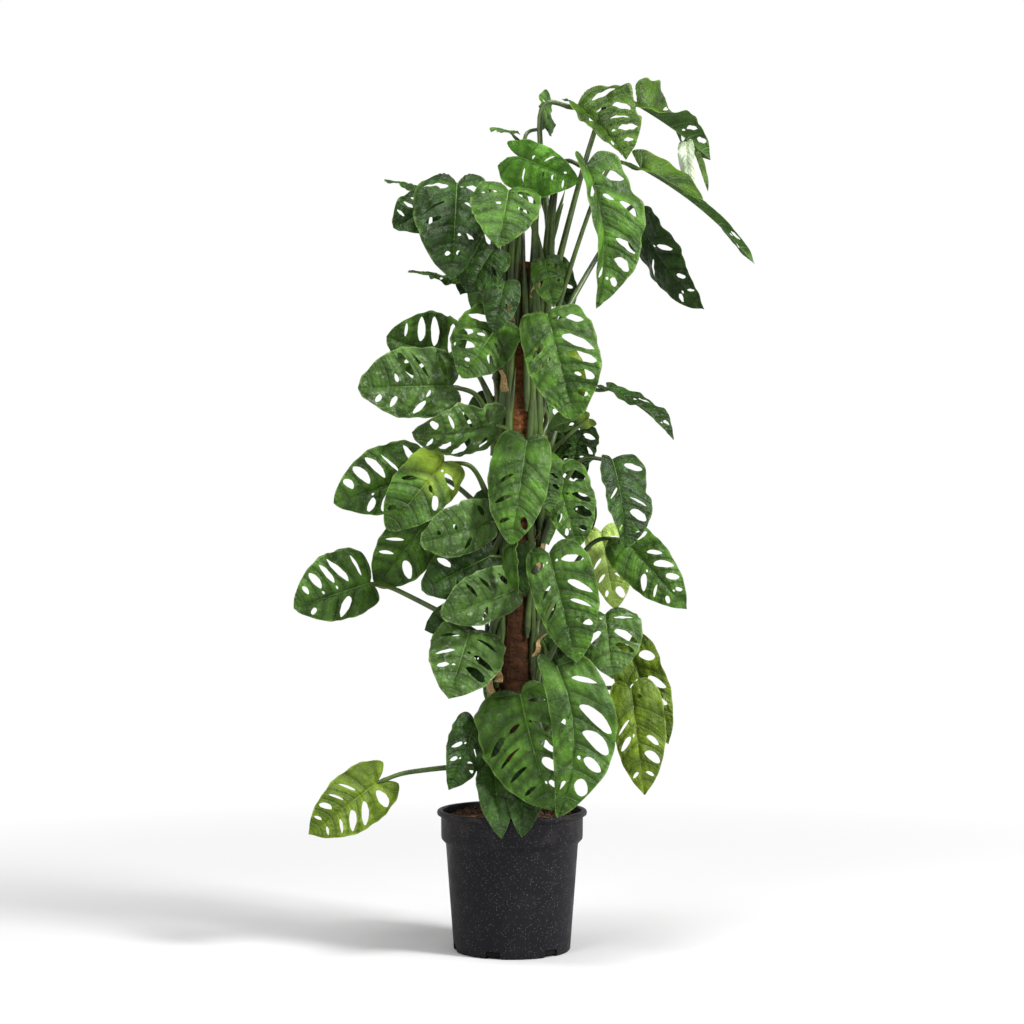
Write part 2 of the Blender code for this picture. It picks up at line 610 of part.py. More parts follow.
def stalk_route(leaf, points, faces):
    """The stalk's way from its stem to just short of the blade's notch."""
    along, up, _ = leaf_axes(leaf)
    base = Vector(leaf.base)
    outward = (base - pole_axis(base.z)) * Vector((1.0, 1.0, 0.0))
    arrive = outward.normalized() + Vector((0.0, 0.0, 0.4)) + along * 0.3
    arrive += up * max(0.0, 0.3 - arrive.dot(up))
    if leaf.lead:
        arrive = Vector(leaf.lead)
    arrive.normalize()
    skin = BVHTree.FromPolygons(points, faces)
    back = 0.5
    while skin.find_nearest(base - arrive * back)[3] < STALK_TIP_RADIUS + TOUCH + 0.1:
        back += 0.1
    end = base - arrive * back
    vine = VINES[leaf.vine]
    rise = leaf.rise or 50.0 + 0.45 * outward.length
    height = max(SOIL_CROWN + 14.0, min(base.z - rise, vine.top - 8.0))
    root = stem_point(vine, height)
    out = root - pole_axis(height)
    lift = min(0.4 * rise, 90.0)
    swing = 0.4 * out.xy.angle_signed(outward.xy, 0.0)
    lean = out * (1.0 + 10.0 / out.length)
    lean.rotate(Matrix.Rotation(-swing, 3, "Z"))
    reach = min(60.0, 0.35 * (end - root).length)
    stations = [root, pole_axis(height + lift) + lean, end - arrive * reach, end]
    return [clear_of_pole(point) for point in smooth_route(stations, STALK_STEPS)]


def clear_of_pole(point):
    """Moves a stalk's point out of the pole, where its smooth way would cut through the coir."""
    out = (point - pole_axis(point.z)) * Vector((1.0, 1.0, 0.0))
    least = POLE_RADIUS + STEM_HEAD_RADIUS + 3.5
    if out.length >= least or point.z > POLE_HEAD.z + least:
        return point
    return point + out * (least / out.length - 1.0)


def make_leaf(leaf, finishes):
    """A blade, and the mesh of the stalk that carries it."""
    points, faces = drop_unused(*blade_mesh(leaf))
    add_solid(leaf.name, points, faces, finishes[leaf.colour])
    route = stalk_route(leaf, points, faces)
    last = len(route) - 1
    radii = [STALK_RADIUS + (STALK_TIP_RADIUS - STALK_RADIUS) * (i / last) ** 4 for i in range(last + 1)]
    return tube_mesh(route, radii, STALK_SIDES, STALK_TIP_RADIUS)


def join(target, collection):
    """One union of a stem with all its stalks, applied."""
    union = target.modifiers.new("Stalks", "BOOLEAN")
    union.operation = "UNION"
    union.solver = "MANIFOLD"
    union.operand_type = "COLLECTION"
    union.collection = collection
    bpy.context.view_layer.update()
    with bpy.context.temp_override(object=target, active_object=target):
        bpy.ops.object.modifier_apply(modifier=union.name)
    for piece in list(collection.objects):
        bpy.data.objects.remove(piece)
    bpy.data.collections.remove(collection)


def make_vines(stalks, stems):
    """Each stem with the stalks that grow from it, fused into one body."""
    bark = material("green_stem", (0.120, 0.180, 0.040), 0.5)
    for name, route, radii in stems:
        points, faces = tube_mesh(route, radii, STEM_SIDES)
        vine = add_solid("vine_" + name, points, faces, bark)
        collection = bpy.data.collections.new("stalks_" + name)
        bpy.context.scene.collection.children.link(collection)
        for number, (points, faces) in enumerate(stalks[name]):
            stalk = add_solid(f"stalk_{name}_{number}", points, faces, bark)
            bpy.context.scene.collection.objects.unlink(stalk)
            collection.objects.link(stalk)
        join(vine, collection)


def clear_scene():
    for leftover in list(bpy.data.objects):
        bpy.data.objects.remove(leftover)


def main():
    clear_scene()
    make_pot()
    stems = [(name, *stem_route(vine)) for name, vine in VINES.items()]
    make_soil(stems)
    make_pole()
    finishes = {name: material("leaf_" + name, colour, 0.45) for name, colour in COLOURS.items()}
    stalks = {name: [] for name in VINES}
    for leaf in LEAVES:
        stalks[leaf.vine].append(make_leaf(leaf, finishes))
    make_vines(stalks, stems)


main()
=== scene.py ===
# %% [markdown]
# # A perforated climbing plant on a coir pole
#
# The real plant is a Monstera adansonii, about 1.4 m tall, in a black nursery pot. Three stems
# climb a pole wrapped in coir, and each carries long leaf stalks that end at one perforated blade.
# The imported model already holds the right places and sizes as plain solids. This lesson loads it,
# keeps every solid where it is, and grows a finer piece in the place of each: thin quilted blades
# with smooth holes, knobbly stems, a fibrous pole, crumbly peat and a speckled pot. A plant could
# also be grown by particle hair or instances, but those do not survive as meshes, so every piece
# here is a mesh of its own.

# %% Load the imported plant
import math
import random
from collections import namedtuple

import bpy
import numpy as np
from mathutils import Matrix, Vector, noise


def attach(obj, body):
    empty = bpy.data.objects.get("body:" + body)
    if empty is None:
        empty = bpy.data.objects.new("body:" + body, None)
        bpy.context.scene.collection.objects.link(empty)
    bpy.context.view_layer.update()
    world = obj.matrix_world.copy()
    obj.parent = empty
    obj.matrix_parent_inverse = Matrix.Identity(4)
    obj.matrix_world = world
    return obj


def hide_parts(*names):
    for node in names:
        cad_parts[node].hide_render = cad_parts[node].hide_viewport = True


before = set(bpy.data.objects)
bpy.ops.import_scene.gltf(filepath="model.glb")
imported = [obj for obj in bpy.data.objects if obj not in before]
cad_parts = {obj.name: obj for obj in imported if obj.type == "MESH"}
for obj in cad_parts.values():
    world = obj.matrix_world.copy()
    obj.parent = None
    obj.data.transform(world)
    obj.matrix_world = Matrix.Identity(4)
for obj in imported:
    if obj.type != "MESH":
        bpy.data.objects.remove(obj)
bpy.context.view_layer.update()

# %% [markdown]
# ## Camera, floor and light
#
# The photograph was taken from about 3.7 m away at half the plant's height, looking level, so the
# camera stands there and nothing is tilted. The photograph's ground is plain white. A flat plane
# would end in a hard horizon behind the plant, so the floor is a wide white dish whose rim curves
# up, and it looks the same from every side. Large soft area lights stand in for the studio's.

# %% The camera
MM = 0.001
CAMERA_AWAY = 3.7
EYE_HEIGHT = 0.70
# On a sensor 36 mm wide this lens frames 1.64 m at the plant.
SENSOR_MM = 36.0
LENS_MM = 81.2


def deselect_all():
    """Leaves edit mode and deselects all, because operators act on all that is selected."""
    if bpy.context.mode != "OBJECT":
        bpy.ops.object.mode_set(mode="OBJECT")
    bpy.ops.object.select_all(action="DESELECT")


deselect_all()
level = (math.radians(90.0), 0.0, 0.0)
bpy.ops.object.camera_add(location=(0.0, -CAMERA_AWAY, EYE_HEIGHT), rotation=level)
camera = bpy.context.object
camera.data.sensor_width = SENSOR_MM
camera.data.lens = LENS_MM
bpy.context.scene.camera = camera
# The plain display transform keeps white paper white, as the photograph has it.
bpy.context.scene.view_settings.view_transform = "Standard"
print("camera at", tuple(round(value, 2) for value in camera.location))


# %% One function for material nodes
def linear(colour):
    """Turns an sRGB hex colour into the linear numbers that shaders use."""
    shares = [int(colour[i : i + 2], 16) / 255.0 for i in (1, 3, 5)]
    return (*(s / 12.92 if s <= 0.04045 else ((s + 0.055) / 1.055) ** 2.4 for s in shares), 1.0)


def plug(tree, node, inputs):
    """Gives inputs a value, a hex colour, or a link to a socket or a node's first output."""
    for place, value in inputs.items():
        if isinstance(value, bpy.types.Node):
            value = next(socket for socket in value.outputs if socket.enabled)
        if isinstance(value, bpy.types.NodeSocket):
            tree.links.new(value, node.inputs[place])
        else:
            node.inputs[place].default_value = linear(value) if isinstance(value, str) else value


def add(tree, kind, inputs=None, **settings):
    """Adds one node. Settings are its properties, and inputs go by a socket's name or number."""
    node = tree.nodes.new("ShaderNode" + kind)
    for name, value in settings.items():
        setattr(node, name, value)
    plug(tree, node, inputs or {})
    return node


print("helpers for nodes are ready")


# %% How a material starts
# Sockets that share a name are told apart by number. In Math they are the values in order. In Mix,
# 0 is the factor and 6 and 7 are the two colours. In Map Range, 1 and 2 are the range that comes
# in, and 3 and 4 the one that goes out, which is 0 to 1 if neither is given.
def new_finish(name, roughness):
    """A Principled material: its tree, its shader and Object coordinates to draw on.

    Object coordinates are metres, so a pattern of s millimetres has a Scale of 1000 / s.
    """
    finish = bpy.data.materials.new(name)
    finish.use_nodes = True
    tree = finish.node_tree
    shader = tree.nodes["Principled BSDF"]
    plug(tree, shader, {"Roughness": roughness})
    return finish, tree, shader, add(tree, "TexCoord").outputs["Object"]


print("a material starts with", len(new_finish("trial", 0.5)[1].nodes), "nodes")
bpy.data.materials.remove(bpy.data.materials["trial"])


# %% Turning a round piece
def turn_profile(name, profile, sides):
    """A closed round piece: a filled circle, extruded and resized from station to station."""
    deselect_all()
    radius, height = profile[0]
    bpy.ops.mesh.primitive_circle_add(
        vertices=sides, radius=radius * MM, location=(0.0, 0.0, height * MM),
        fill_type="NGON", enter_editmode=True,
    )
    for (r0, h0), (r1, h1) in zip(profile, profile[1:]):
        move = {"value": (0.0, 0.0, (h1 - h0) * MM)}
        bpy.ops.mesh.extrude_region_move(TRANSFORM_OT_translate=move)
        bpy.ops.transform.resize(value=(r1 / r0, r1 / r0, 1.0), center_override=(0.0, 0.0, 0.0))
    bpy.ops.mesh.select_all(action="SELECT")
    bpy.ops.mesh.normals_make_consistent(inside=False)
    piece = bpy.context.object
    bpy.ops.object.mode_set(mode="OBJECT")
    bpy.ops.object.transform_apply(location=True, rotation=True, scale=True)
    piece.name = name
    return piece


print("the turning helper is ready")

# %% The floor
# Matt studio paper takes a soft shadow and shows no shine. Near the plant it is lit and holds its
# shadow. Further out it glows evenly, as a lit studio wall does, so that no horizon shows.
paper, tree, shader, place = new_finish("white_backdrop_paper", 0.9)
spot = add(tree, "Mapping", {"Vector": place, "Scale": (1.0, 1.0, 0.0)})
away = add(tree, "VectorMath", {0: spot}, operation="LENGTH")
far = add(tree, "MapRange", {"Value": away, 1: 0.5, 2: 1.9})
tone = add(tree, "Mix", {0: far, 6: "#c6c6c6", 7: "#000000"}, data_type="RGBA")
plug(tree, shader, {"Base Color": tone, "Emission Strength": far, "Emission Color": "#ffffff"})
plug(tree, shader, {"Specular IOR Level": 0.0})
# Radius and height of the dish in millimetres: its underside, its rim, then back inside.
bowl = [(400.0, -30.0), (7000.0, -30.0), (9500.0, 300.0), (11500.0, 1500.0), (12500.0, 3400.0)]
bowl += [(12800.0, 6500.0), (12780.0, 6500.0), (12480.0, 3420.0), (11480.0, 1520.0)]
bowl += [(9480.0, 320.0), (7000.0, 0.0), (400.0, 0.0)]
floor = turn_profile("floor_dish", bowl, 96)
floor.data.materials.append(paper)
floor.data.shade_smooth()
print("floor dish:", len(floor.data.polygons), "faces")

# %% The lights
world = bpy.data.worlds.new("white_studio")
world.use_nodes = True
plug(world.node_tree, world.node_tree.nodes["Background"], {"Color": "#ffffff", "Strength": 0.17})
bpy.context.scene.world = world
MIDDLE_OF_PLANT = Vector((0.0, 0.0, 0.7))
# Each softbox: its place and the length of its side in metres, and its power in watts.
for name, place, side, watts in (
    ("key_softbox", (3.0, -1.9, 2.9), 0.9, 300.0),
    ("left_softbox", (-1.9, -3.0, 3.0), 1.4, 70.0),
    ("top_softbox", (-0.2, -0.5, 4.4), 1.4, 120.0),
):
    bpy.ops.object.light_add(type="AREA", location=place)
    lamp = bpy.context.object
    lamp.name = name
    lamp.data.size = side
    lamp.data.energy = watts
    lamp.rotation_euler = (MIDDLE_OF_PLANT - Vector(place)).to_track_quat("-Z", "Y").to_euler()

# %% [markdown]
# ## The nursery pot
#
# A moulded pot of recycled black plastic: tapered body, a wider collar, a rolled rim, a foot that
# is raised a little, and six drain notches. It is turned from one profile, as a mould maker draws
# it: a filled circle is extruded and resized from station to station, out and up the outside, over
# the rim and down the inside. The notches are boxes cut away at the foot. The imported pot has 36
# flat sides and this one has 96, so the rim stays round close up.

# %% Sizes of the pot, in millimetres
FOOT_RADIUS = 93.5
SHOULDER_RADIUS = 106.0
COLLAR_RADIUS = 113.7
RIM_RADIUS = 120.0
RIM_TOP = 224.0
WALL = 2.2
NOTCHES = 6
NOTCH_TURN = -18.7
print("pot: rim", 2 * RIM_RADIUS, "mm across,", RIM_TOP, "mm tall")

# %% The pot's plastic
# Polypropylene, moulded from recycled black plastic. It gives the eye a dull black with a soft
# sheen on its edges, sprinkled with grey flecks and dusty near the rim.
plastic, tree, shader, place = new_finish("black_recycled_plastic", 0.5)
cloud = add(tree, "TexNoise", {"Vector": place, "Scale": 9.0, "Detail": 5.0, "Roughness": 0.6})
body = add(tree, "Mix", {0: cloud, 6: "#0c0b0e", 7: "#161518"}, data_type="RGBA")
# The pale flecks of recycled plastic are about 0.5 mm and are drawn at 1.5 mm, so that they show.
cells = add(tree, "TexVoronoi", {"Vector": place, "Scale": 420.0})
fleck = add(tree, "MapRange", {"Value": cells, 1: 0.18, 2: 0.36, 3: 1.0, 4: 0.0})
pick = add(tree, "SeparateColor", {"Color": cells.outputs["Color"]})
rare = add(tree, "MapRange", {"Value": pick, 1: 0.50, 2: 0.95, 3: 0.0, 4: 0.75})
flecks = add(tree, "Math", {0: fleck, 1: rare}, operation="MULTIPLY")
specks = add(tree, "Mix", {0: flecks, 6: body, 7: "#5e5f66"}, data_type="RGBA")
# Dust and splashes of peat gather on the collar and the rim.
height = add(tree, "SeparateXYZ", {"Vector": place}).outputs["Z"]
high = add(tree, "MapRange", {"Value": height, 1: 0.15, 2: 0.222, 3: 0.05, 4: 0.26})
smear = add(tree, "TexNoise", {"Vector": place, "Scale": 34.0, "Detail": 7.0, "Roughness": 0.7})
spots = add(tree, "MapRange", {"Value": smear, 1: 0.48, 2: 0.72})
dirt = add(tree, "Math", {0: high, 1: spots}, operation="MULTIPLY")
dusty = add(tree, "Mix", {0: dirt, 6: specks, 7: "#57504a"}, data_type="RGBA")
worn = add(tree, "MapRange", {"Value": smear, 1: 0.35, 2: 0.7, 3: 0.42, 4: 0.68})
# The mould's fine grain, about 1.5 mm.
fine = add(tree, "TexNoise", {"Vector": place, "Scale": 700.0, "Detail": 2.0})
bump = add(tree, "Bump", {"Height": fine, "Strength": 0.35, "Distance": 0.0005})
plug(tree, shader, {"Base Color": dusty, "Roughness": worn, "Normal": bump})
plug(tree, shader, {"Specular IOR Level": 0.12})
print("plastic:", len(tree.nodes), "nodes")


# %% Helpers that finish a piece
def select_only(*pieces):
    """Selects these pieces and no others, with the first one active."""
    deselect_all()
    for piece in pieces:
        piece.select_set(True)
    bpy.context.view_layer.objects.active = pieces[0]


def finish_round(piece, degrees):
    """Smooth shading that keeps edges sharper than this angle sharp."""
    select_only(piece)
    bpy.ops.object.shade_smooth_by_angle(angle=math.radians(degrees))


def apply_modifier(piece, kind, **settings):
    """Adds a modifier with its settings and applies it at once."""
    select_only(piece)
    modifier = piece.modifiers.new(kind, kind)
    for name, value in settings.items():
        setattr(modifier, name, value)
    bpy.ops.object.modifier_apply(modifier=modifier.name)


print("helpers for pieces are ready")

# %% Turn the pot
# Radius and height of each station, from the floor's middle round the outside and back inside.
pot_profile = [
    (6.0, 2.6), (70.0, 2.6), (76.0, 1.2), (FOOT_RADIUS - 9.0, 0.2), (FOOT_RADIUS - 4.0, 0.0),
    (FOOT_RADIUS - 1.6, 0.6), (FOOT_RADIUS - 0.3, 2.2), (FOOT_RADIUS, 5.0),
    (FOOT_RADIUS + 4.1, 60.0), (FOOT_RADIUS + 8.3, 115.0), (SHOULDER_RADIUS - 0.3, 168.0),
    (SHOULDER_RADIUS + 0.4, 171.0), (SHOULDER_RADIUS + 2.6, 173.4), (COLLAR_RADIUS - 2.6, 176.0),
    (COLLAR_RADIUS - 0.8, 178.4), (COLLAR_RADIUS - 0.3, 182.0), (COLLAR_RADIUS, 213.4),
    (COLLAR_RADIUS + 0.8, 215.0), (RIM_RADIUS - 2.2, 215.6), (RIM_RADIUS - 0.7, 216.6),
    (RIM_RADIUS, 218.6), (RIM_RADIUS, 220.6), (RIM_RADIUS - 0.7, 222.6), (RIM_RADIUS - 2.2, 223.7),
    (RIM_RADIUS - 4.0, RIM_TOP), (COLLAR_RADIUS - 1.2, 223.6), (COLLAR_RADIUS - WALL, 222.0),
    (COLLAR_RADIUS - 0.8 - WALL, 180.0), (SHOULDER_RADIUS - WALL, 171.0),
    (FOOT_RADIUS - WALL, 5.2), (FOOT_RADIUS - 4.0, 3.6), (6.0, 3.4),
]
pot = turn_profile("nursery_pot", pot_profile, 96)
print("pot before its notches:", len(pot.data.polygons), "faces")

# %% Cut the drain notches
bpy.ops.mesh.primitive_cube_add(size=1.0, location=(0.0, 0.0, 0.0))
notches = bpy.context.object
bpy.ops.object.mode_set(mode="EDIT")
bpy.ops.transform.resize(value=(0.030, 0.025, 0.024))
bpy.ops.transform.translate(value=(FOOT_RADIUS * MM, 0.0, 0.0))
bpy.ops.mesh.bevel(offset=0.003, segments=2)
bpy.ops.mesh.select_all(action="SELECT")
turn = -math.radians(NOTCH_TURN - 90.0)
bpy.ops.transform.rotate(value=turn, orient_axis="Z", center_override=(0.0, 0.0, 0.0))
bpy.ops.object.mode_set(mode="OBJECT")
first = notches.data.copy()
for count in range(1, NOTCHES):
    copy = bpy.data.objects.new("notch", first.copy())
    bpy.context.scene.collection.objects.link(copy)
    copy.data.transform(Matrix.Rotation(math.tau * count / NOTCHES, 4, "Z"))
    select_only(notches, copy)
    bpy.ops.object.join()
apply_modifier(pot, "BOOLEAN", operation="DIFFERENCE", solver="EXACT", object=notches)
bpy.data.objects.remove(notches)
pot.data.materials.append(plastic)
finish_round(pot, 30.0)
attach(pot, "root")
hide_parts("pot")
print("pot:", len(pot.data.polygons), "faces")

# %% [markdown]
# ## The peat
#
# Coarse peat fills the pot to just under the rim. It is heaped in the middle and is never smooth:
# it is a bed of crumbs, with bits of coir and bark in it. The bed is turned like the pot, its
# surface is then lifted vertex by vertex with the heap, the lumps and a fine noise, and crumbs are
# strewn over it. Crumbs are copies of one low ball, each turned and squeezed in its own way, joined
# into one mesh.


# %% The peat's colours
def earth(name, dark, light, scale, rough=0.95):
    """A crumbly brown finish: two tones in noise, with a fine rough bump."""
    finish, tree, shader, place = new_finish(name, rough)
    crumbs = add(tree, "TexNoise", {"Vector": place, "Scale": scale, "Detail": 6.0,
                                    "Roughness": 0.7})
    share = add(tree, "MapRange", {"Value": crumbs, 1: 0.32, 2: 0.68})
    tone = add(tree, "Mix", {0: share, 6: dark, 7: light}, data_type="RGBA")
    # Lower in the pot the peat is drawn darker, almost black where the drain notches show it.
    height = add(tree, "SeparateXYZ", {"Vector": place}).outputs["Z"]
    low_darkening = add(tree, "MapRange", {"Value": height, 1: 0.06, 2: 0.20, 3: 1.0, 4: 0.0})
    tone = add(tree, "Mix", {0: low_darkening, 6: tone, 7: "#0b0807"}, data_type="RGBA")
    bump = add(tree, "Bump", {"Height": crumbs, "Strength": 0.9, "Distance": 0.002})
    plug(tree, shader, {"Base Color": tone, "Normal": bump, "Specular IOR Level": 0.25})
    return finish


# Moist peat, crumbled: a dark matt brown that swallows light. Crumbs in it are about 4 mm.
peat = earth("moist_peat", "#1c110b", "#4f3323", 260.0)
# Chipped bark and coir: paler dry bits, 3 mm, that break up the dark bed.
bark = earth("bark_and_coir_bits", "#3f2715", "#93683f", 320.0, 0.9)
print("earths:", peat.name, bark.name)

# %% The bed of peat
SOIL_EDGE = 210.0
SOIL_CROWN = 217.0


def soil_height(radius, angle):
    """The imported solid's surface: heaped in the middle, with soft lumps."""
    lumps = 1.6 * math.sin(3 * angle + radius * 0.07) + 1.2 * math.cos(5 * angle - radius * 0.11)
    heap = (SOIL_CROWN - SOIL_EDGE) * (1.0 - (radius / COLLAR_RADIUS) ** 2)
    return SOIL_EDGE + heap + lumps * min(1.0, radius / 30.0)


bed_edge = COLLAR_RADIUS - WALL - 0.9
bed_profile = [(4.0, 3.8), (FOOT_RADIUS - WALL - 0.6, 3.8), (SHOULDER_RADIUS - WALL - 0.6, 171.0)]
bed_profile += [(COLLAR_RADIUS - 1.8 - WALL, 180.0), (bed_edge, 206.0)]
bed_profile += [(radius, SOIL_EDGE) for radius in np.arange(bed_edge - 0.8, 2.0, -2.6)]
bed = turn_profile("peat_bed", bed_profile, 132)
for vertex in bed.data.vertices:
    if vertex.co.z > (SOIL_EDGE - 2.0) * MM:
        radius = math.hypot(vertex.co.x, vertex.co.y) / MM
        angle = math.atan2(vertex.co.y, vertex.co.x)
        rough = noise.fractal(vertex.co / MM * 0.09, 1.0, 2.1, 4) * 1.9
        vertex.co.z = (soil_height(radius, angle) + rough) * MM
bed.data.materials.append(peat)
finish_round(bed, 60.0)
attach(bed, "root")
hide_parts("soil")
print("peat bed:", len(bed.data.polygons), "faces")


# %% Strewing copies of one small shape
def strew(name, pattern, frames, finish):
    """One mesh made of many copies of a small pattern, each put down by its own matrix."""
    points = np.array([tuple(vertex.co) + (1.0,) for vertex in pattern.data.vertices])
    faces = [tuple(polygon.vertices) for polygon in pattern.data.polygons]
    placed = [points @ np.array(matrix).T[:, :3] for matrix in frames]
    count = len(points)
    copied = [tuple(i + count * k for i in face) for k in range(len(frames)) for face in faces]
    mesh = bpy.data.meshes.new(name)
    mesh.from_pydata(np.concatenate(placed).tolist(), [], copied)
    mesh.materials.append(finish)
    piece = bpy.data.objects.new(name, mesh)
    bpy.context.scene.collection.objects.link(piece)
    bpy.data.objects.remove(pattern)
    return piece


def small_lump(subdivisions, squeeze, chance):
    """A ball of 20 or 80 faces, pushed out of round."""
    deselect_all()
    bpy.ops.mesh.primitive_ico_sphere_add(subdivisions=subdivisions, radius=1.0)
    lump = bpy.context.object
    for vertex in lump.data.vertices:
        vertex.co *= chance.uniform(0.72, 1.25)
        vertex.co.z *= squeeze
    return lump


print("the strewing helper is ready")


# %% Where a crumb lies, and how large it is
def anywhere_on_peat(chance, widest, sink):
    """A random turn and place on the bed, clear of the pole."""
    while True:
        x, y = chance.uniform(-widest, widest), chance.uniform(-widest, widest)
        radius = math.hypot(x, y)
        if radius < widest and math.hypot(x + 3.1, y - 5.0) > 34.0:
            break
    z = soil_height(radius, math.atan2(y, x)) + sink
    turn = Matrix.Rotation(chance.uniform(0.0, math.tau), 4, "Z")
    turn = turn @ Matrix.Rotation(chance.uniform(-0.6, 0.6), 4, "X")
    return Matrix.Translation((x * MM, y * MM, z * MM)) @ turn


def crumb_size(chance):
    """Half the length, width and height of a crumb: many are small and a few reach 4 mm."""
    size = MM * 1.1 / (0.25 + chance.random())
    return size * chance.uniform(0.8, 1.7), size, size * chance.uniform(0.6, 1.0)


def lump_size(chance):
    """The same of a lump."""
    size = MM * chance.uniform(1.6, 4.2)
    return size * chance.uniform(0.9, 1.5), size, size * 0.75


def chip_size(chance):
    """The same of a chip of bark, which is long and thin."""
    size = MM * chance.uniform(0.5, 1.3)
    return size * chance.uniform(3.0, 8.0), size, size * 0.7


print("a crumb is", round(crumb_size(random.Random(0))[0] / MM, 1), "mm to its end")

# %% Strew the crumbs, lumps and chips
chance = random.Random(7)
# How many, their size, how far out and how high they lie, and their ball: divisions and squeeze.
for name, many, draw_size, widest, sink, divisions, squeeze, finish in (
    ("peat_crumbs", 1500, crumb_size, 108.5, 0.6, 1, 0.8, peat),
    ("peat_lumps", 110, lump_size, 106.0, 1.2, 2, 0.8, peat),
    ("bark_chips", 260, chip_size, 107.0, 1.4, 1, 0.7, bark),
):
    frames = []
    for _ in range(many):
        size = Matrix.Diagonal((*draw_size(chance), 1.0))
        frames.append(anywhere_on_peat(chance, widest, sink) @ size)
    piece = strew(name, small_lump(divisions, squeeze, chance), frames, finish)
    finish_round(piece, 60.0)
    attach(piece, "root")
    print(piece.name, len(piece.data.polygons), "faces")

# %% [markdown]
# ## The coir pole
#
# A wooden stake wrapped in coir, the reddish fibre of coconut husks. The wrap is a mat of short
# fibres that lie round the pole every which way, with ends that stand off. It could be a bump map
# only, but its edge would stay straight against the light, so the mat is a rough tube and some
# thousands of fibres are laid on it. A fibre is modelled once, as a thin three-sided hair, and its
# copies are strewn on a flat sheet that is then rolled round the pole.

# %% Where the pole stands
POLE_RADIUS = 32.0
POLE_FOOT = Vector((-6.6, 5.0, 45.0))
POLE_HEAD = Vector((15.5, 5.0, 1100.0))
pole_length = (POLE_HEAD - POLE_FOOT).length


def pole_axis(height):
    """The centre of the leaning pole at a height."""
    share = (height - POLE_FOOT.z) / (POLE_HEAD.z - POLE_FOOT.z)
    return POLE_FOOT.lerp(POLE_HEAD, share)


def lean_with_pole(piece):
    """Leans a piece that was made upright round the Z axis, and stands it on the pole's foot."""
    lean = (POLE_HEAD - POLE_FOOT).normalized()
    turn = Vector((0.0, 0.0, 1.0)).rotation_difference(lean).to_matrix().to_4x4()
    piece.data.transform(Matrix.Translation(POLE_FOOT * MM) @ turn)


print("pole:", round(pole_length), "mm long, its axis at half height is", pole_axis(550.0))


# %% Coir
def painted_shade_below(tree, place, tone):
    """Painted shade: low on the pole the coir is drawn dark brown; higher up it is paler."""
    height = add(tree, "SeparateXYZ", {"Vector": place}).outputs["Z"]
    low_darkening = add(tree, "MapRange", {"Value": height, 1: 0.60, 2: 0.78, 3: 0.72, 4: 0.0})
    return add(tree, "Mix", {0: low_darkening, 6: tone, 7: "#120904"}, data_type="RGBA")


# Coconut fibre, pressed to a mat: a matt red brown in bands, rough and stringy, with no shine.
# Its strands are 0.3 mm thick and are drawn at 1 mm, so that they show.
coir, tree, shader, place = new_finish("coir_mat", 0.95)
bands = add(tree, "Mapping", {"Vector": place, "Scale": (0.5, 0.5, 2.2)})
patches = add(tree, "TexNoise", {"Vector": bands, "Scale": 70.0, "Detail": 5.0, "Roughness": 0.65})
strands = add(tree, "TexNoise", {"Vector": place, "Scale": 900.0, "Detail": 3.0,
                                 "Distortion": 2.0})
mixed = add(tree, "Math", {0: patches, 1: strands}, operation="ADD")
share = add(tree, "MapRange", {"Value": mixed, 1: 0.82, 2: 1.2})
tone = add(tree, "Mix", {0: share, 6: "#1a0c05", 7: "#8a5832"}, data_type="RGBA")
bump = add(tree, "Bump", {"Height": strands, "Strength": 1.0, "Distance": 0.0015})
# The mat's lower part is darkened by painted shade.
plug(tree, shader, {"Base Color": painted_shade_below(tree, place, tone), "Normal": bump})
plug(tree, shader, {"Specular IOR Level": 0.2})
# Single fibres: paler and a little glossier than the mat, so that they catch light as fine hairs.
fibre, tree, shader, place = new_finish("coir_fibre", 0.85)
patches = add(tree, "TexNoise", {"Vector": place, "Scale": 240.0, "Detail": 2.0})
share = add(tree, "MapRange", {"Value": patches, 1: 0.3, 2: 0.7})
tone = add(tree, "Mix", {0: share, 6: "#5a3418", 7: "#b27a48"}, data_type="RGBA")
# The fibres take the same painted shade low on the pole.
plug(tree, shader, {"Base Color": painted_shade_below(tree, place, tone), "Specular IOR Level": 0.3})
print("coir:", coir.name, fibre.name)

# %% The mat round the pole
mat_profile = [(12.0, 0.0), (POLE_RADIUS, 0.0)]
mat_profile += [(POLE_RADIUS, height) for height in np.arange(5.0, pole_length - 9.0, 5.0)]
mat_profile += [(POLE_RADIUS - 1.5, pole_length - 4.0), (POLE_RADIUS - 5.0, pole_length - 1.0)]
mat_profile += [(POLE_RADIUS - 9.0, pole_length), (14.0, pole_length)]
mat = turn_profile("coir_wrap", mat_profile, 56)
for vertex in mat.data.vertices:
    radius = math.hypot(vertex.co.x, vertex.co.y) / MM
    if radius > 20.0:
        lump = noise.fractal(vertex.co / MM * 0.045, 1.0, 2.0, 4) * 1.6 - 0.8
        vertex.co.x *= 1.0 + lump / radius
        vertex.co.y *= 1.0 + lump / radius
lean_with_pole(mat)
mat.data.materials.append(coir)
finish_round(mat, 60.0)
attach(mat, "root")
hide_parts("coir_sleeve")
print("coir wrap:", len(mat.data.polygons), "faces")


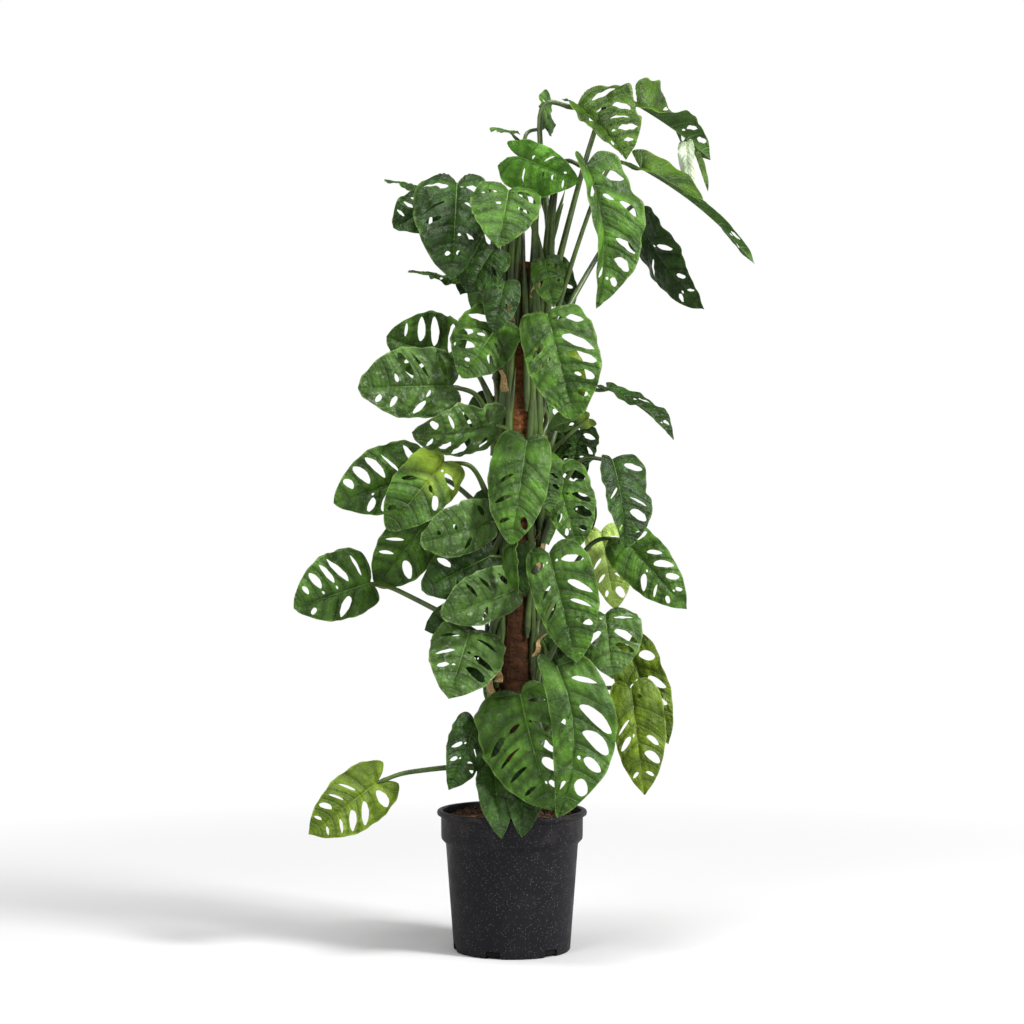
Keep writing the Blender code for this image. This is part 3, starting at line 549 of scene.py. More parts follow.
# %% One fibre
def hair(sides, joints, bend):
    """A thin fibre along X, one unit long, that bows sideways and thins at its ends."""
    deselect_all()
    bpy.ops.mesh.primitive_circle_add(
        vertices=sides, radius=1.0, fill_type="NGON", enter_editmode=True
    )
    for _ in range(joints):
        bpy.ops.mesh.extrude_region_move(TRANSFORM_OT_translate={"value": (0.0, 0.0, 1.0)})
    bpy.ops.object.mode_set(mode="OBJECT")
    strand = bpy.context.object
    for vertex in strand.data.vertices:
        x, y, z = vertex.co
        share = z / joints
        slim = 1.0 - 0.8 * abs(2.0 * share - 1.0) ** 3
        vertex.co = (share - 0.5, x * slim * 0.01, y * slim * 0.01)
        vertex.co.y += bend * (share - 0.5) ** 2 * 0.8
    return strand


print("the fibre's pattern is ready")

# %% Lay the fibres and roll them round the pole
FIBRES = 3200
chance = random.Random(11)
frames = []
for _ in range(FIBRES):
    length = chance.uniform(14.0, 52.0)
    turn = Matrix.Rotation(chance.gauss(0.0, 0.9), 4, "Z")
    tilt = Matrix.Rotation(chance.gauss(0.0, 0.045), 4, "Y")
    thick = chance.uniform(22.0, 42.0)
    along = chance.uniform(0.0, math.tau * POLE_RADIUS)
    spot = (along, chance.uniform(60.0, pole_length - 4.0), chance.uniform(-0.3, 0.7))
    bend = chance.choice((-1.0, 1.0))
    size = Matrix.Diagonal((length, length * 0.5 * bend, thick, 1.0))
    frames.append(Matrix.Translation(spot) @ turn @ tilt @ size)
fibres = strew("coir_fibres", hair(sides=3, joints=4, bend=0.5), frames, fibre)
for vertex in fibres.data.vertices:
    angle = vertex.co.x / POLE_RADIUS
    radius = (POLE_RADIUS - 0.4 + vertex.co.z) * MM
    height = min(vertex.co.y, pole_length - 1.0) * MM
    vertex.co = (radius * math.cos(angle), radius * math.sin(angle), height)
lean_with_pole(fibres)
finish_round(fibres, 80.0)
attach(fibres, "root")
print("coir fibres:", len(fibres.data.polygons), "faces")

# %% The stake inside
# Sawn pine: pale, dry and straight-grained, with growth rings 3 mm apart along the stake.
pine, tree, shader, place = new_finish("pine_stake", 0.7)
stretched = add(tree, "Mapping", {"Vector": place, "Scale": (60.0, 60.0, 4.0)})
rings = add(tree, "TexNoise", {"Vector": stretched, "Scale": 6.0, "Detail": 4.0})
tone = add(tree, "Mix", {0: rings, 6: "#8b6337", 7: "#cfa873"}, data_type="RGBA")
bump = add(tree, "Bump", {"Height": rings, "Strength": 0.4, "Distance": 0.0004})
plug(tree, shader, {"Base Color": tone, "Normal": bump})
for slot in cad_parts["pole_stake"].material_slots:
    slot.material = pine
print("stake finish on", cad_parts["pole_stake"].name)

# %% [markdown]
# ## The leaves, as one table
#
# Every blade is set down as a grower would describe it: where its stalk meets it, where its tip
# hangs, how wide each half is, which of its side bands hold a hole and of what kind, and how it is
# turned, bowed and folded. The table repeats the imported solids' own numbers, in millimetres, so
# that each fine blade grows exactly where its solid stands. A second, shorter table adds the small
# leaves deep in the plant, which have no solid of their own.

# %% Outline, holes and stems
# Half of an outline: the way along the midrib and the width, as shares of length and half width.
HALF_OUTLINE = (
    (-0.050, 0.20), (-0.080, 0.48), (-0.030, 0.78), (0.100, 0.96),
    (0.280, 1.00), (0.480, 0.95), (0.690, 0.75), (0.875, 0.40),
)
# A letter for each pair of side veins says which holes lie between them. A hole is its inner end,
# its outer end and its half width, as shares of the band. One that ends near the midrib is small,
# and half of those are left out.
HOLES = {
    ".": (),
    "i": ((0.12, 0.36, 0.12),),
    "s": ((0.24, 0.80, 0.11),),
    "o": ((0.32, 0.76, 0.18), (0.11, 0.24, 0.07)),
    "O": ((0.28, 0.86, 0.24), (0.10, 0.20, 0.08)),
    "W": ((0.20, 0.89, 0.30),),
    "b": ((0.46, 0.86, 0.24), (0.12, 0.36, 0.12)),
}
HOLE_SPAN = 0.86
VEIN_LEAN = 0.30
# A stem: its turn round the pole in degrees, how much it winds in a metre, and its head's height.
Vine = namedtuple("Vine", "azimuth drift top")
VINES = {
    "left": Vine(212.0, -18.0, 1075.0),
    "right": Vine(338.0, 10.0, 1085.0),
    "back": Vine(92.0, 25.0, 1090.0),
}
print("kinds of holes:", len(HOLES) - 1, "stems:", len(VINES))

# %% The leaves
# Base and tip of the midrib, half widths, hole codes from the stalk to the tip, stem and colour;
# then roll, fold, curl and twist in degrees, arch and sway as shares of the length, how deep the
# lobes and how blunt the tip, how far the stalk rises, and the way it arrives where that isn't
# plain.
Leaf = namedtuple(
    "Leaf",
    "name base tip left right left_holes right_holes vine colour"
    " roll arch sway fold curl twist heart blunt rise lead",
    defaults=(0.0, 0.07, 0.0, 14.0, 32.0, 0.0, 1.0, 1.0, None, None),
)
LEAVES = (
    Leaf("leaf_01", (104, 10, 1351), (180, -60, 1255), 76, 44, "ObsOo", ".o.o", "right", "mature",
         roll=-38, fold=36, curl=20, arch=0.06, rise=330),
    Leaf("leaf_02", (202, 20, 1356), (326, 90, 1278), 62, 42, ".s.Oo", "..oO", "right", "dark",
         roll=-50, fold=40, curl=24, arch=0.03, twist=-100, heart=1.3, rise=400),
    Leaf("leaf_03", (205, -20, 1248), (382, -60, 1091), 40, 26, "..oso", ".o.o", "right", "mature",
         roll=-42, fold=34, curl=24, arch=0.04, sway=0.03, twist=-95, heart=1.4, rise=360),
    Leaf("leaf_04", (116, -90, 1242), (131, -110, 1016), 66, 36, "Ob.OOo", "s.s", "right", "mature",
         roll=-38, fold=34, curl=24, sway=0.05, rise=330),
    Leaf("leaf_05", (208, 40, 1170), (309, 10, 1026), 44, 44, ".o.os", ".s.o", "right", "dark",
         roll=50, curl=30, arch=0.08, rise=290),
    Leaf("leaf_06", (54, 40, 1322), (56, 70, 1390), 30, 30, ".o.", ".o.", "right", "mature",
         roll=66, fold=8, curl=20, arch=0.03, rise=260),
    Leaf("leaf_07", (1, 30, 1312), (-35, 60, 1325), 24, 24, "..", "..", "back", "mature",
         roll=72, fold=6, curl=20, arch=0.03, heart=0.3, lead=(-0.5, -0.2, 0.8)),
    Leaf("leaf_08", (9, -40, 1264), (107, -100, 1214), 32, 54, ".is.i", ".s.iis", "right", "fresh",
         roll=8, fold=18, curl=36, arch=0.08, heart=3.0, rise=250),
    Leaf("leaf_09", (-87, -30, 1223), (-92, -130, 1056), 56, 68, "Os.oi", "Wso.i", "left", "dark",
         curl=34, arch=0.1, heart=1.3, rise=250),
    Leaf("leaf_10", (-5, -100, 1202), (-21, -170, 1103), 54, 56, "Oo..", "oi..", "left", "mature",
         curl=30, arch=0.08, rise=230),
    Leaf("leaf_11", (-136, 60, 1211), (-211, 120, 1247), 36, 36, ".o.", ".o.", "left", "dark",
         roll=74, fold=10, curl=24, rise=280),
    Leaf("leaf_12", (-108, 0, 1193), (-188, -40, 1150), 34, 44, ".oo.", ".oos", "left", "dark",
         roll=10, fold=12, curl=26, blunt=0.75, rise=230),
    Leaf("leaf_13", (-78, 10, 1068), (-165, -50, 1079), 34, 36, ".s.", ".s.", "left", "mature",
         roll=78, fold=6, curl=20, arch=0.03),
    Leaf("leaf_14", (-31, -60, 1113), (-70, -80, 1042), 38, 42, ".O..", ".o..", "left", "dark",
         roll=10, fold=12, curl=26),
    Leaf("leaf_15", (-96, 10, 941), (-200, -20, 980), 44, 68, ".oo.", "WWWs", "left", "mature",
         roll=-6, arch=0.06, blunt=0.8),
    Leaf("leaf_16", (-94, -70, 898), (-239, -120, 892), 50, 64, ".b.oo", "OsWi.", "left", "mature",
         curl=34, arch=0.08, blunt=0.72),
    Leaf("leaf_17", (-18, -70, 999), (-78, -110, 908), 46, 56, ".so.", "WbWi", "left", "mature",
         curl=30, blunt=0.85),
    Leaf("leaf_18", (-26, -90, 836), (-154, -150, 823), 50, 50, "oWOs", "OssO", "left", "dark",
         roll=-42, curl=40, arch=0.08, blunt=0.8),
    Leaf("leaf_19", (54, -110, 1008), (96, -160, 841), 66, 52, "bWWOo", ".os.s", "right", "mature",
         curl=34, arch=0.1, heart=0.5, blunt=0.75),
    Leaf("leaf_20", (121, -60, 848), (55, -30, 830), 26, 28, "...", ".o.", "right", "olive",
         roll=130, fold=12, curl=26),
    Leaf("leaf_21", (109, 45, 833), (99, 25, 752), 36, 36, "OWO.", "OWO.", "right", "dark",
         roll=20, curl=26),
    Leaf("leaf_22", (154, 30, 899), (258, -10, 815), 40, 36, ".o.o", ".o..", "right", "dark",
         roll=-68, fold=20, curl=24, rise=190),
    Leaf("leaf_23", (159, -40, 784), (177, -70, 643), 54, 30, "O.sWo", ".s.s", "right", "dark",
         roll=-30, fold=22, curl=30, heart=0.4, blunt=0.8, rise=200),
    Leaf("leaf_24", (177, 0, 658), (277, -40, 546), 42, 44, "WoWOo", "..Oso", "right", "mature",
         fold=12, curl=30, rise=220),
    Leaf("leaf_25", (144, 50, 668), (167, 20, 541), 44, 30, "O.sW", ".sso", "right", "lime",
         fold=12, curl=26),
    Leaf("leaf_26", (65, -68, 766), (102, -86, 644), 52, 32, "WOWo", ".ooo", "right", "mature",
         roll=-10, curl=30, blunt=0.85),
    Leaf("leaf_27", (23, -100, 811), (-1, -130, 649), 44, 52, "...O", ".sss", "left", "mature",
         curl=34, arch=0.08, blunt=0.85),
    Leaf("leaf_28", (38, -85, 788), (59, -95, 700), 36, 34, ".oo.", ".o..", "right", "mature",
         roll=-30, fold=16, curl=26),
    Leaf("leaf_29", (4, -75, 578), (-110, -145, 540), 34, 50, ".s.", "oss.", "left", "mature",
         roll=-8, curl=36, arch=0.08, blunt=0.65),
    Leaf("leaf_30", (-140, 0, 761), (-282, -50, 714), 46, 66, "..WO.", "OsWWO", "left", "mature",
         fold=12, curl=36, arch=0.1, blunt=0.85),
    Leaf("leaf_31", (-106, -60, 779), (-196, -90, 672), 48, 48, "Ob..", ".o.o", "left", "olive",
         fold=12, curl=30, blunt=0.85),
    Leaf("leaf_32", (-135, 30, 687), (-219, 36, 579), 48, 46, "o.W.", ".ss.", "left", "mature",
         fold=12, curl=30, blunt=0.8),
    Leaf("leaf_33", (-34, -80, 686), (-142, -150, 652), 38, 46, ".o..", "o.ii", "left", "dark",
         roll=-12, curl=40, arch=0.08, blunt=0.65),
    Leaf("leaf_34", (-34, -60, 631), (-141, -100, 578), 44, 46, ".os.", ".iO.", "left", "dark",
         fold=12, curl=30, blunt=0.75),
    Leaf("leaf_35", (-226, -10, 587), (-345, -50, 548), 44, 68, ".W.o", "sWOOo", "left", "mature",
         fold=12, curl=34, arch=0.08, heart=0.6, blunt=0.85),
    Leaf("leaf_36", (-67, -80, 512), (-98, -130, 411), 66, 54, "sOW.", "sso.", "left", "mature",
         fold=12, arch=0.08),
    Leaf("leaf_37", (13, -85, 415), (62, -158, 241), 50, 84, "sOOWo", ".bsss", "left", "mature",
         roll=10, fold=12, curl=34, arch=0.08),
    Leaf("leaf_38", (69, -130, 462), (69, -176, 233), 68, 34, "sWWOW", ".o.s", "right", "mature",
         fold=16, curl=30, sway=0.11, blunt=0.85, rise=150),
    Leaf("leaf_39", (188, -40, 421), (209, -60, 254), 48, 38, "i.oWs", ".sO.s", "right", "olive",
         fold=12, curl=30),
    Leaf("leaf_40", (187, 10, 485), (250, -10, 329), 42, 40, "OOo.", ".o..", "right", "olive",
         roll=10, curl=26),
    Leaf("leaf_41", (146, -60, 539), (156, -120, 441), 56, 48, "sWW.", "OW..", "right", "mature",
         fold=12, curl=34, arch=0.1, rise=170),
    Leaf("leaf_42", (57, -110, 636), (101, -140, 466), 62, 42, "OOsO.", "OsW..", "right", "mature",
         curl=32),
    Leaf("leaf_43", (2, -112, 649), (10, -130, 573), 22, 20, "..", "..", "left", "mature",
         roll=55, fold=20, curl=20),
    Leaf("leaf_44", (17, -38, 648), (21, -38, 565), 14, 14, "..", "..", "right", "dark",
         fold=10, curl=20, arch=0.02),
    Leaf("leaf_45", (-59, -58, 369), (-99, -96, 266), 36, 34, ".oO.", ".oo.", "left", "dark",
         roll=-20, curl=30),
    Leaf("leaf_46", (-29, -66, 300), (-16, -150, 197), 28, 30, "s.", "..", "left", "dark",
         fold=18, curl=30),
    Leaf("leaf_47", (15, -92, 303), (15, -150, 199), 36, 24, ".o.", "..", "right", "dark",
         fold=10, curl=30),
    Leaf("leaf_48", (-213, -40, 272), (-319, -80, 195), 50, 46, "WWWss", ".ssOs", "left", "olive",
         fold=12, curl=30, arch=0.06, heart=2.3, lead=(-0.85, -0.1, -0.25)),
    Leaf("leaf_49", (-72, -40, 542), (-138, -60, 514), 28, 28, "..", ".o.", "left", "dark",
         curl=26),
    Leaf("leaf_50", (37, 70, 556), (57, 130, 405), 46, 44, ".OO.", "oO..", "back", "dark",
         roll=168, fold=12, curl=30),
    Leaf("leaf_51", (-6, 80, 474), (-16, 140, 338), 44, 46, "oO..", ".OO.", "back", "dark",
         roll=190, fold=12, curl=30),
    Leaf("leaf_52", (30, 75, 769), (61, 130, 645), 44, 42, ".Oo.", "oO..", "back", "mature",
         roll=172, fold=12, curl=30),
    Leaf("leaf_53", (4, 75, 989), (1, 135, 866), 42, 44, "oO..", ".OO.", "back", "mature",
         roll=184, fold=12, curl=30),
)
print("leaves:", len(LEAVES))

# %% The small leaves deep in the plant
# Young blades close to the pole, which fill the plant's dark middle. The last number is their roll.
# Most of them take the dark look, which paints their shade.
YOUNG = tuple(Leaf("young_" + number, *row) for number, *row in (
    ("01", (-30, -38, 722), (-72, -52, 642), 30, 30, ".o.", "o..", "left", "dark", -10),
    ("02", (84, 40, 826), (116, 60, 752), 30, 28, ".o.", ".oo", "right", "dark", 14),
    ("03", (58, 22, 524), (92, 34, 432), 36, 34, ".O.", "Oo.", "right", "dark", 10),
    ("04", (-52, 22, 606), (-98, 32, 532), 32, 32, ".o.", "o..", "left", "dark", -8),
    ("05", (-34, 46, 884), (-74, 72, 806), 34, 30, "oO.", ".o.", "left", "dark", -14),
    ("06", (62, 50, 1104), (96, 72, 1026), 32, 30, ".o.", ".O.", "right", "dark", 16),
    ("07", (-26, -48, 364), (-48, -72, 288), 26, 26, "..", "o.", "left", "dark", -14),
    ("08", (78, -20, 950), (112, -34, 876), 28, 28, ".o.", "o..", "right", "olive", 12),
    ("09", (-52, 30, 1128), (-84, 44, 1052), 30, 30, ".o.", ".o.", "left", "dark", -12),
    ("10", (96, 30, 742), (128, 44, 668), 30, 30, "Oo.", ".o.", "right", "dark", 18),
    ("11", (-12, -74, 1062), (-30, -96, 980), 30, 28, ".o.", "o..", "left", "dark", -6),
    ("12", (52, -52, 1098), (66, -84, 1020), 28, 26, "oo.", ".o.", "right", "mature", 10),
    ("14", (52, 66, 902), (84, 112, 806), 34, 36, "oO.", ".Oo", "right", "mature", 150),
    ("15", (-58, 62, 690), (-92, 106, 594), 34, 34, ".O.", "oO.", "left", "mature", 205),
    ("16", (64, 60, 392), (94, 108, 300), 32, 34, "oo.", ".O.", "right", "dark", 155),
    ("17", (-40, 64, 1118), (-66, 108, 1032), 32, 30, ".o.", "oo.", "left", "mature", 200),
    ("13", (-44, -52, 500), (-60, -84, 424), 28, 26, "..", ".o.", "left", "dark", -10),
))
# Leaf 02 is torn, and two of its strips hang from it.
TORN = (
    Leaf("torn_01", (284, 66, 1304), (292, 44, 1212), 13, 15, "..", "..", "right", "lime",
         roll=20, heart=0.3),
    Leaf("torn_02", (299, 73, 1292), (319, 64, 1222), 7, 6, "..", "..", "right", "mature",
         roll=-30, heart=0.2),
)
print("small leaves:", len(YOUNG), "torn strips:", len(TORN))

# %% [markdown]
# ## The stems and their stalks
#
# Each stem hugs the coir and slowly winds round it, with a swollen ring wherever a leaf once grew.
# A stalk leaves it as a thick sheath, climbs along the pole, bows out and ends in a slightly
# swollen knee at its blade. Both are tubes that change width along a bent way. Extruding a ring by
# hand along sixty ways would be slow, so each way is drawn as a path with a round bevel and a
# radius at every point, and turned into a mesh.

# %% Smooth ways through a few stations
def smooth_way(stations, steps):
    """Points along one smooth curve through the stations, spaced evenly between each pair."""
    padded = [stations[0] * 2 - stations[1], *stations, stations[-1] * 2 - stations[-2]]
    way = []
    spans = len(stations) - 1
    for step in range(steps + 1):
        place = spans * step / steps
        span = min(int(place), spans - 1)
        t = place - span
        a, b, c, d = padded[span : span + 4]
        bend = (a * 2 - b * 5 + c * 4 - d) * (0.5 * t * t)
        bend = bend + (b * 3 - a - c * 3 + d) * (0.5 * t * t * t)
        way.append(b + (c - a) * (0.5 * t) + bend)
    return way


print("a way through 3 stations has", len(smooth_way([Vector((0, 0, z)) for z in (0, 1, 2)], 8)))

# %% Where a stem and a blade lie
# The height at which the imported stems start, in millimetres.
STEM_FOOT = 172.0


def stem_radius(vine, height):
    """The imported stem's radius at a height."""
    share = (height - STEM_FOOT) / (vine.top - STEM_FOOT)
    return 6.5 - 2.5 * share


def stem_point(vine, height):
    """The centre of a stem at a height."""
    azimuth = math.radians(vine.azimuth + vine.drift * (height - STEM_FOOT) * MM)
    out = Vector((math.cos(azimuth), math.sin(azimuth), 0.0))
    return pole_axis(height) + out * (POLE_RADIUS + 0.6 + stem_radius(vine, height))


def leaf_axes(leaf):
    """The blade's own directions: along its midrib, up from its face, and to its left."""
    along = (Vector(leaf.tip) - Vector(leaf.base)).normalized()
    front = Vector((0.0, -1.0, 0.0))
    up = (front - along * front.dot(along)).normalized()
    up.rotate(Matrix.Rotation(math.radians(leaf.roll), 3, along))
    return along, up, up.cross(along)


print("leaf_01 looks", tuple(round(x, 2) for x in leaf_axes(LEAVES[0])[1]))

# %% The way of a stalk
# No stalk leaves its stem below this height, so that it clears the peat.
LOWEST_STALK = 231.0


def clear_of_pole(point):
    """Moves a stalk's point out of the pole, where its smooth way would cut through the coir."""
    out = (point - pole_axis(point.z)) * Vector((1.0, 1.0, 0.0))
    least = POLE_RADIUS + 7.5
    if out.length >= least or point.z > POLE_HEAD.z + least:
        return point
    return point + out * (least / out.length - 1.0)


def stalk_way(leaf, steps):
    """The stalk's way from its stem to the blade's notch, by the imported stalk's own rule."""
    along, up, _ = leaf_axes(leaf)
    base = Vector(leaf.base)
    outward = (base - pole_axis(base.z)) * Vector((1.0, 1.0, 0.0))
    arrive = outward.normalized() + Vector((0.0, 0.0, 0.4)) + along * 0.3
    arrive += up * max(0.0, 0.3 - arrive.dot(up))
    arrive = Vector(leaf.lead) if leaf.lead else arrive
    arrive.normalize()
    vine = VINES[leaf.vine]
    rise = leaf.rise or 50.0 + 0.45 * outward.length
    height = max(LOWEST_STALK, min(base.z - rise, vine.top - 8.0))
    root = stem_point(vine, height)
    out = root - pole_axis(height)
    lift = min(0.4 * rise, 90.0)
    swing = 0.4 * out.xy.angle_signed(outward.xy, 0.0)
    lean = out * (1.0 + 10.0 / out.length)
    lean.rotate(Matrix.Rotation(-swing, 3, "Z"))
    end = base + along * 1.5 - up * 0.9
    reach = min(60.0, 0.35 * (end - root).length)
    stations = [root, pole_axis(height + lift) + lean, end - arrive * reach, end]
    return [clear_of_pole(point) for point in smooth_way(stations, steps)]


way = stalk_way(LEAVES[0], 24)
print("first stalk is", round(sum((b - a).length for a, b in zip(way, way[1:]))), "mm long")


# %% A tube that grows along a way
def grow_tube(name, way, radii, sides):
    """A closed tube: a path with a round bevel and a radius at each point, turned into a mesh."""
    deselect_all()
    bpy.ops.curve.primitive_nurbs_path_add(location=(0.0, 0.0, 0.0))
    rod = bpy.context.object
    rod.name = name
    rod.data.splines.clear()
    line = rod.data.splines.new("POLY")
    line.points.add(len(way) - 1)
    for point, place, radius in zip(line.points, way, radii):
        point.co = (*(place * MM), 1.0)
        point.radius = radius
    rod.data.bevel_depth = MM
    rod.data.bevel_resolution = (sides - 4) // 2
    rod.data.use_fill_caps = True
    rod.data.twist_mode = "MINIMUM"
    bpy.ops.object.convert(target="MESH")
    return bpy.context.object


def join_pieces(name, pieces):
    """One object from several."""
    select_only(*pieces)
    bpy.ops.object.join()
    joined = bpy.context.object
    joined.name = name
    return joined


trial = grow_tube("trial", [Vector(), Vector((0.0, 0.0, 9.0))], [1.0, 1.0], sides=8)
print("a tube of one length has", len(trial.data.polygons), "faces")
bpy.data.objects.remove(trial)


# %% Green bark
def stem_finish(name, deep, light, scar):
    """Young bark: stripes 2 mm apart along it, blotches of 4 cm and scars of 8 mm."""
    finish, tree, shader, place = new_finish(name, 0.42)
    long = add(tree, "Mapping", {"Vector": place, "Scale": (1.0, 1.0, 0.12)})
    stripes = add(tree, "TexNoise", {"Vector": long, "Scale": 420.0, "Detail": 3.0})
    blotch = add(tree, "TexNoise", {"Vector": place, "Scale": 22.0, "Detail": 4.0})
    share = add(tree, "MapRange", {"Value": blotch, 1: 0.35, 2: 0.65})
    tone = add(tree, "Mix", {0: share, 6: deep, 7: light}, data_type="RGBA")
    lines = add(tree, "MapRange", {"Value": stripes, 1: 0.45, 2: 0.75, 3: 0.0, 4: 0.35})
    lined = add(tree, "Mix", {0: lines, 6: tone, 7: light}, data_type="RGBA")
    spots = add(tree, "TexNoise", {"Vector": place, "Scale": 130.0, "Detail": 5.0})
    scars = add(tree, "MapRange", {"Value": spots, 1: 0.60, 2: 0.72, 3: 0.0, 4: 0.6})
    tone = add(tree, "Mix", {0: scars, 6: lined, 7: scar}, data_type="RGBA")
    bump = add(tree, "Bump", {"Height": stripes, "Strength": 0.4, "Distance": 0.0006})
    plug(tree, shader, {"Base Color": tone, "Normal": bump})
    return finish


# The stems' living bark: olive green with tan scars, a faint gloss and fine lines along it.
green_bark = stem_finish("green_bark", "#2f3b0c", "#5b6824", "#6f5a34")
# A stalk's waxy skin, deeper green with painted shade: stalks read as dark rods in the plant's
# shade.
green_stalk = stem_finish("green_stalk", "#192604", "#405813", "#5a5426")
print("stems:", green_bark.name, green_stalk.name)


# %% A stem and a stalk
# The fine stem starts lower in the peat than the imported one, and its first ring lies in the peat.
STEM_ROOT = 150.0
FIRST_RING = 190.0


def grow_stem(name, vine, chance):
    """A knobbly stem, thicker at each ring and near its foot."""
    count = round((vine.top - STEM_ROOT) / 5.0)
    heights = [STEM_ROOT + (vine.top - STEM_ROOT) * i / count for i in range(count + 1)]
    rings = []
    ring = FIRST_RING
    while ring < vine.top:
        rings.append(ring)
        ring += chance.uniform(34.0, 58.0)
    way, radii = [], []
    for height in heights:
        nearest = min(abs(height - ring) for ring in rings)
        wobble = (math.sin(height * 0.09 + vine.azimuth), math.cos(height * 0.07), 0.0)
        way.append(stem_point(vine, height) + Vector(wobble) * 0.9)
        swell = 1.9 * math.exp(-((nearest / 4.5) ** 2))
        foot = 2.6 * min(1.0, max(0.0, 1.0 - (height - 200.0) / 170.0))
        radii.append(stem_radius(vine, height) * 0.98 + swell + foot)
    radii[-1] *= 0.5
    stem = grow_tube("stem_" + name, way, radii, sides=12)
    stem.data.materials.append(green_bark)
    return stem


def grow_stalk(leaf):
    """A stalk: a wide sheath at the stem, a slimmer round part and a swollen knee at the blade."""
    way = stalk_way(leaf, 26)
    size = min(1.15, 0.62 + 0.004 * (leaf.left + leaf.right))
    radii = []
    for i in range(len(way)):
        share = i / (len(way) - 1)
        closed = min(1.0, max(0.0, (share - 0.22) / 0.36))
        sheath = 2.4 * (1.0 - closed * closed * (3.0 - 2.0 * closed))
        knee = 0.8 * math.exp(-(((share - 0.93) / 0.03) ** 2))
        radii.append((4.3 + sheath + knee - 1.5 * share**3) * size)
    radii[-1] *= 0.75
    stalk = grow_tube("stalk_" + leaf.name, way, radii, sides=10)
    stalk.data.materials.append(green_stalk)
    return stalk


print("stems start at", STEM_ROOT, "mm")

# %% The shoots that lie on the pole
# Old sheaths and young shoots that lie on the coir: the height and the turn round the pole, in
# degrees, of foot and head, the thickness, and how far the head stands off.
SHOOT_STEPS = 22
SHOOTS = {
    "left": (
        (700, 236, 930, 262, 6.5, 3), (800, 222, 1040, 250, 7.5, 6),
        (880, 246, 1165, 268, 7.0, 12), (930, 228, 1210, 236, 7.8, 22),
        (990, 262, 1250, 250, 6.2, 16), (560, 230, 760, 256, 6.2, 2),
        (420, 226, 600, 248, 6.5, 2), (215, 224, 420, 240, 7.8, 2),
        (1000, 215, 1180, 205, 6.8, 26), (640, 246, 840, 240, 6.8, 4),
        (760, 250, 980, 244, 7.5, 5), (850, 236, 1090, 226, 6.8, 10),
        (960, 244, 1200, 256, 8.0, 18), (490, 240, 690, 232, 5.8, 3),
        (215, 236, 330, 250, 8.2, 3),
    ),
    "right": (
        (720, 322, 960, 292, 7.0, 4), (820, 330, 1080, 300, 8.0, 8),
        (900, 312, 1180, 286, 7.5, 14), (950, 334, 1240, 318, 8.2, 26),
        (1010, 296, 1270, 300, 6.5, 20), (580, 318, 780, 300, 6.2, 3),
        (430, 330, 590, 312, 6.5, 2), (225, 322, 400, 306, 7.8, 2),
        (1020, 344, 1215, 350, 7.2, 30), (650, 308, 850, 316, 6.5, 4),
        (770, 300, 1000, 308, 7.0, 6), (860, 290, 1120, 272, 6.8, 10),
        (970, 306, 1220, 288, 8.0, 18), (1000, 322, 1190, 332, 7.8, 34),
        (500, 306, 650, 318, 5.8, 3),
    ),
    "back": (
        (760, 70, 1000, 48, 7.0, 6), (880, 112, 1150, 132, 7.5, 14), (500, 100, 700, 128, 6.5, 4),
        (960, 84, 1200, 92, 7.0, 16), (300, 80, 520, 60, 6.8, 3),
    ),
}


def grow_shoot(foot, foot_turn, head, head_turn, thick, stand):
    """A shoot that lies on the coir and leaves it towards its pointed head."""
    way, radii = [], []
    for i in range(SHOOT_STEPS + 1):
        share = i / SHOOT_STEPS
        height = foot + (head - foot) * share
        turn = math.radians(foot_turn + (head_turn - foot_turn) * share**1.4)
        out = Vector((math.cos(turn), math.sin(turn), 0.0))
        bow = 0.3 * (3.0 * math.sin(share * 7.0 + foot))
        off = POLE_RADIUS + thick * 0.8 + stand * share**2 + bow
        way.append(pole_axis(height) + out * off)
        head_end, foot_end = min(1.0, 4.5 * (1.02 - share)), min(1.0, 0.4 + 6.0 * share)
        radii.append(thick * (1.0 - 0.45 * share) * head_end * foot_end)
    shoot = grow_tube("shoot", way, radii, sides=10)
    # Shoots share the stalks' finish and its painted shade.
    shoot.data.materials.append(green_stalk)
    return shoot


print("shoots:", sum(len(rows) for rows in SHOOTS.values()))

# %% Grow the stems, the shoots and the stalks
chance = random.Random(3)
for vine_name, vine in VINES.items():
    parts = [grow_stem(vine_name, vine, chance)]
    parts += [grow_shoot(*shoot) for shoot in SHOOTS[vine_name]]
    parts += [grow_stalk(leaf) for leaf in LEAVES + YOUNG if leaf.vine == vine_name]
    grown = join_pieces("stem_and_stalks_" + vine_name, parts)
    finish_round(grown, 60.0)
    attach(grown, "root")
    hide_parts("vine_" + vine_name)
    print(grown.name, len(grown.data.polygons), "faces")

# %% [markdown]
# ## Aerial roots and dry sheaths
#
# Brown roots grow from the stems' rings and grip the coir or hang along it. The sheath that once
# wrapped each young leaf dries to a tan papery strip that clings to the stem and curls away. Both
# are what makes an old climbing plant untidy close up. The roots are tubes like the stalks, and a
# strip is a small grid laid round the pole that stands off more and more towards its torn end.

# %% An aerial root
# Corky root skin: a matt dark brown, rough in patches of 2 mm, that reads as old and woody.
root_skin = earth("aerial_root", "#33210f", "#7a5a34", 420.0, 0.8)

ROOT_STEPS = 14


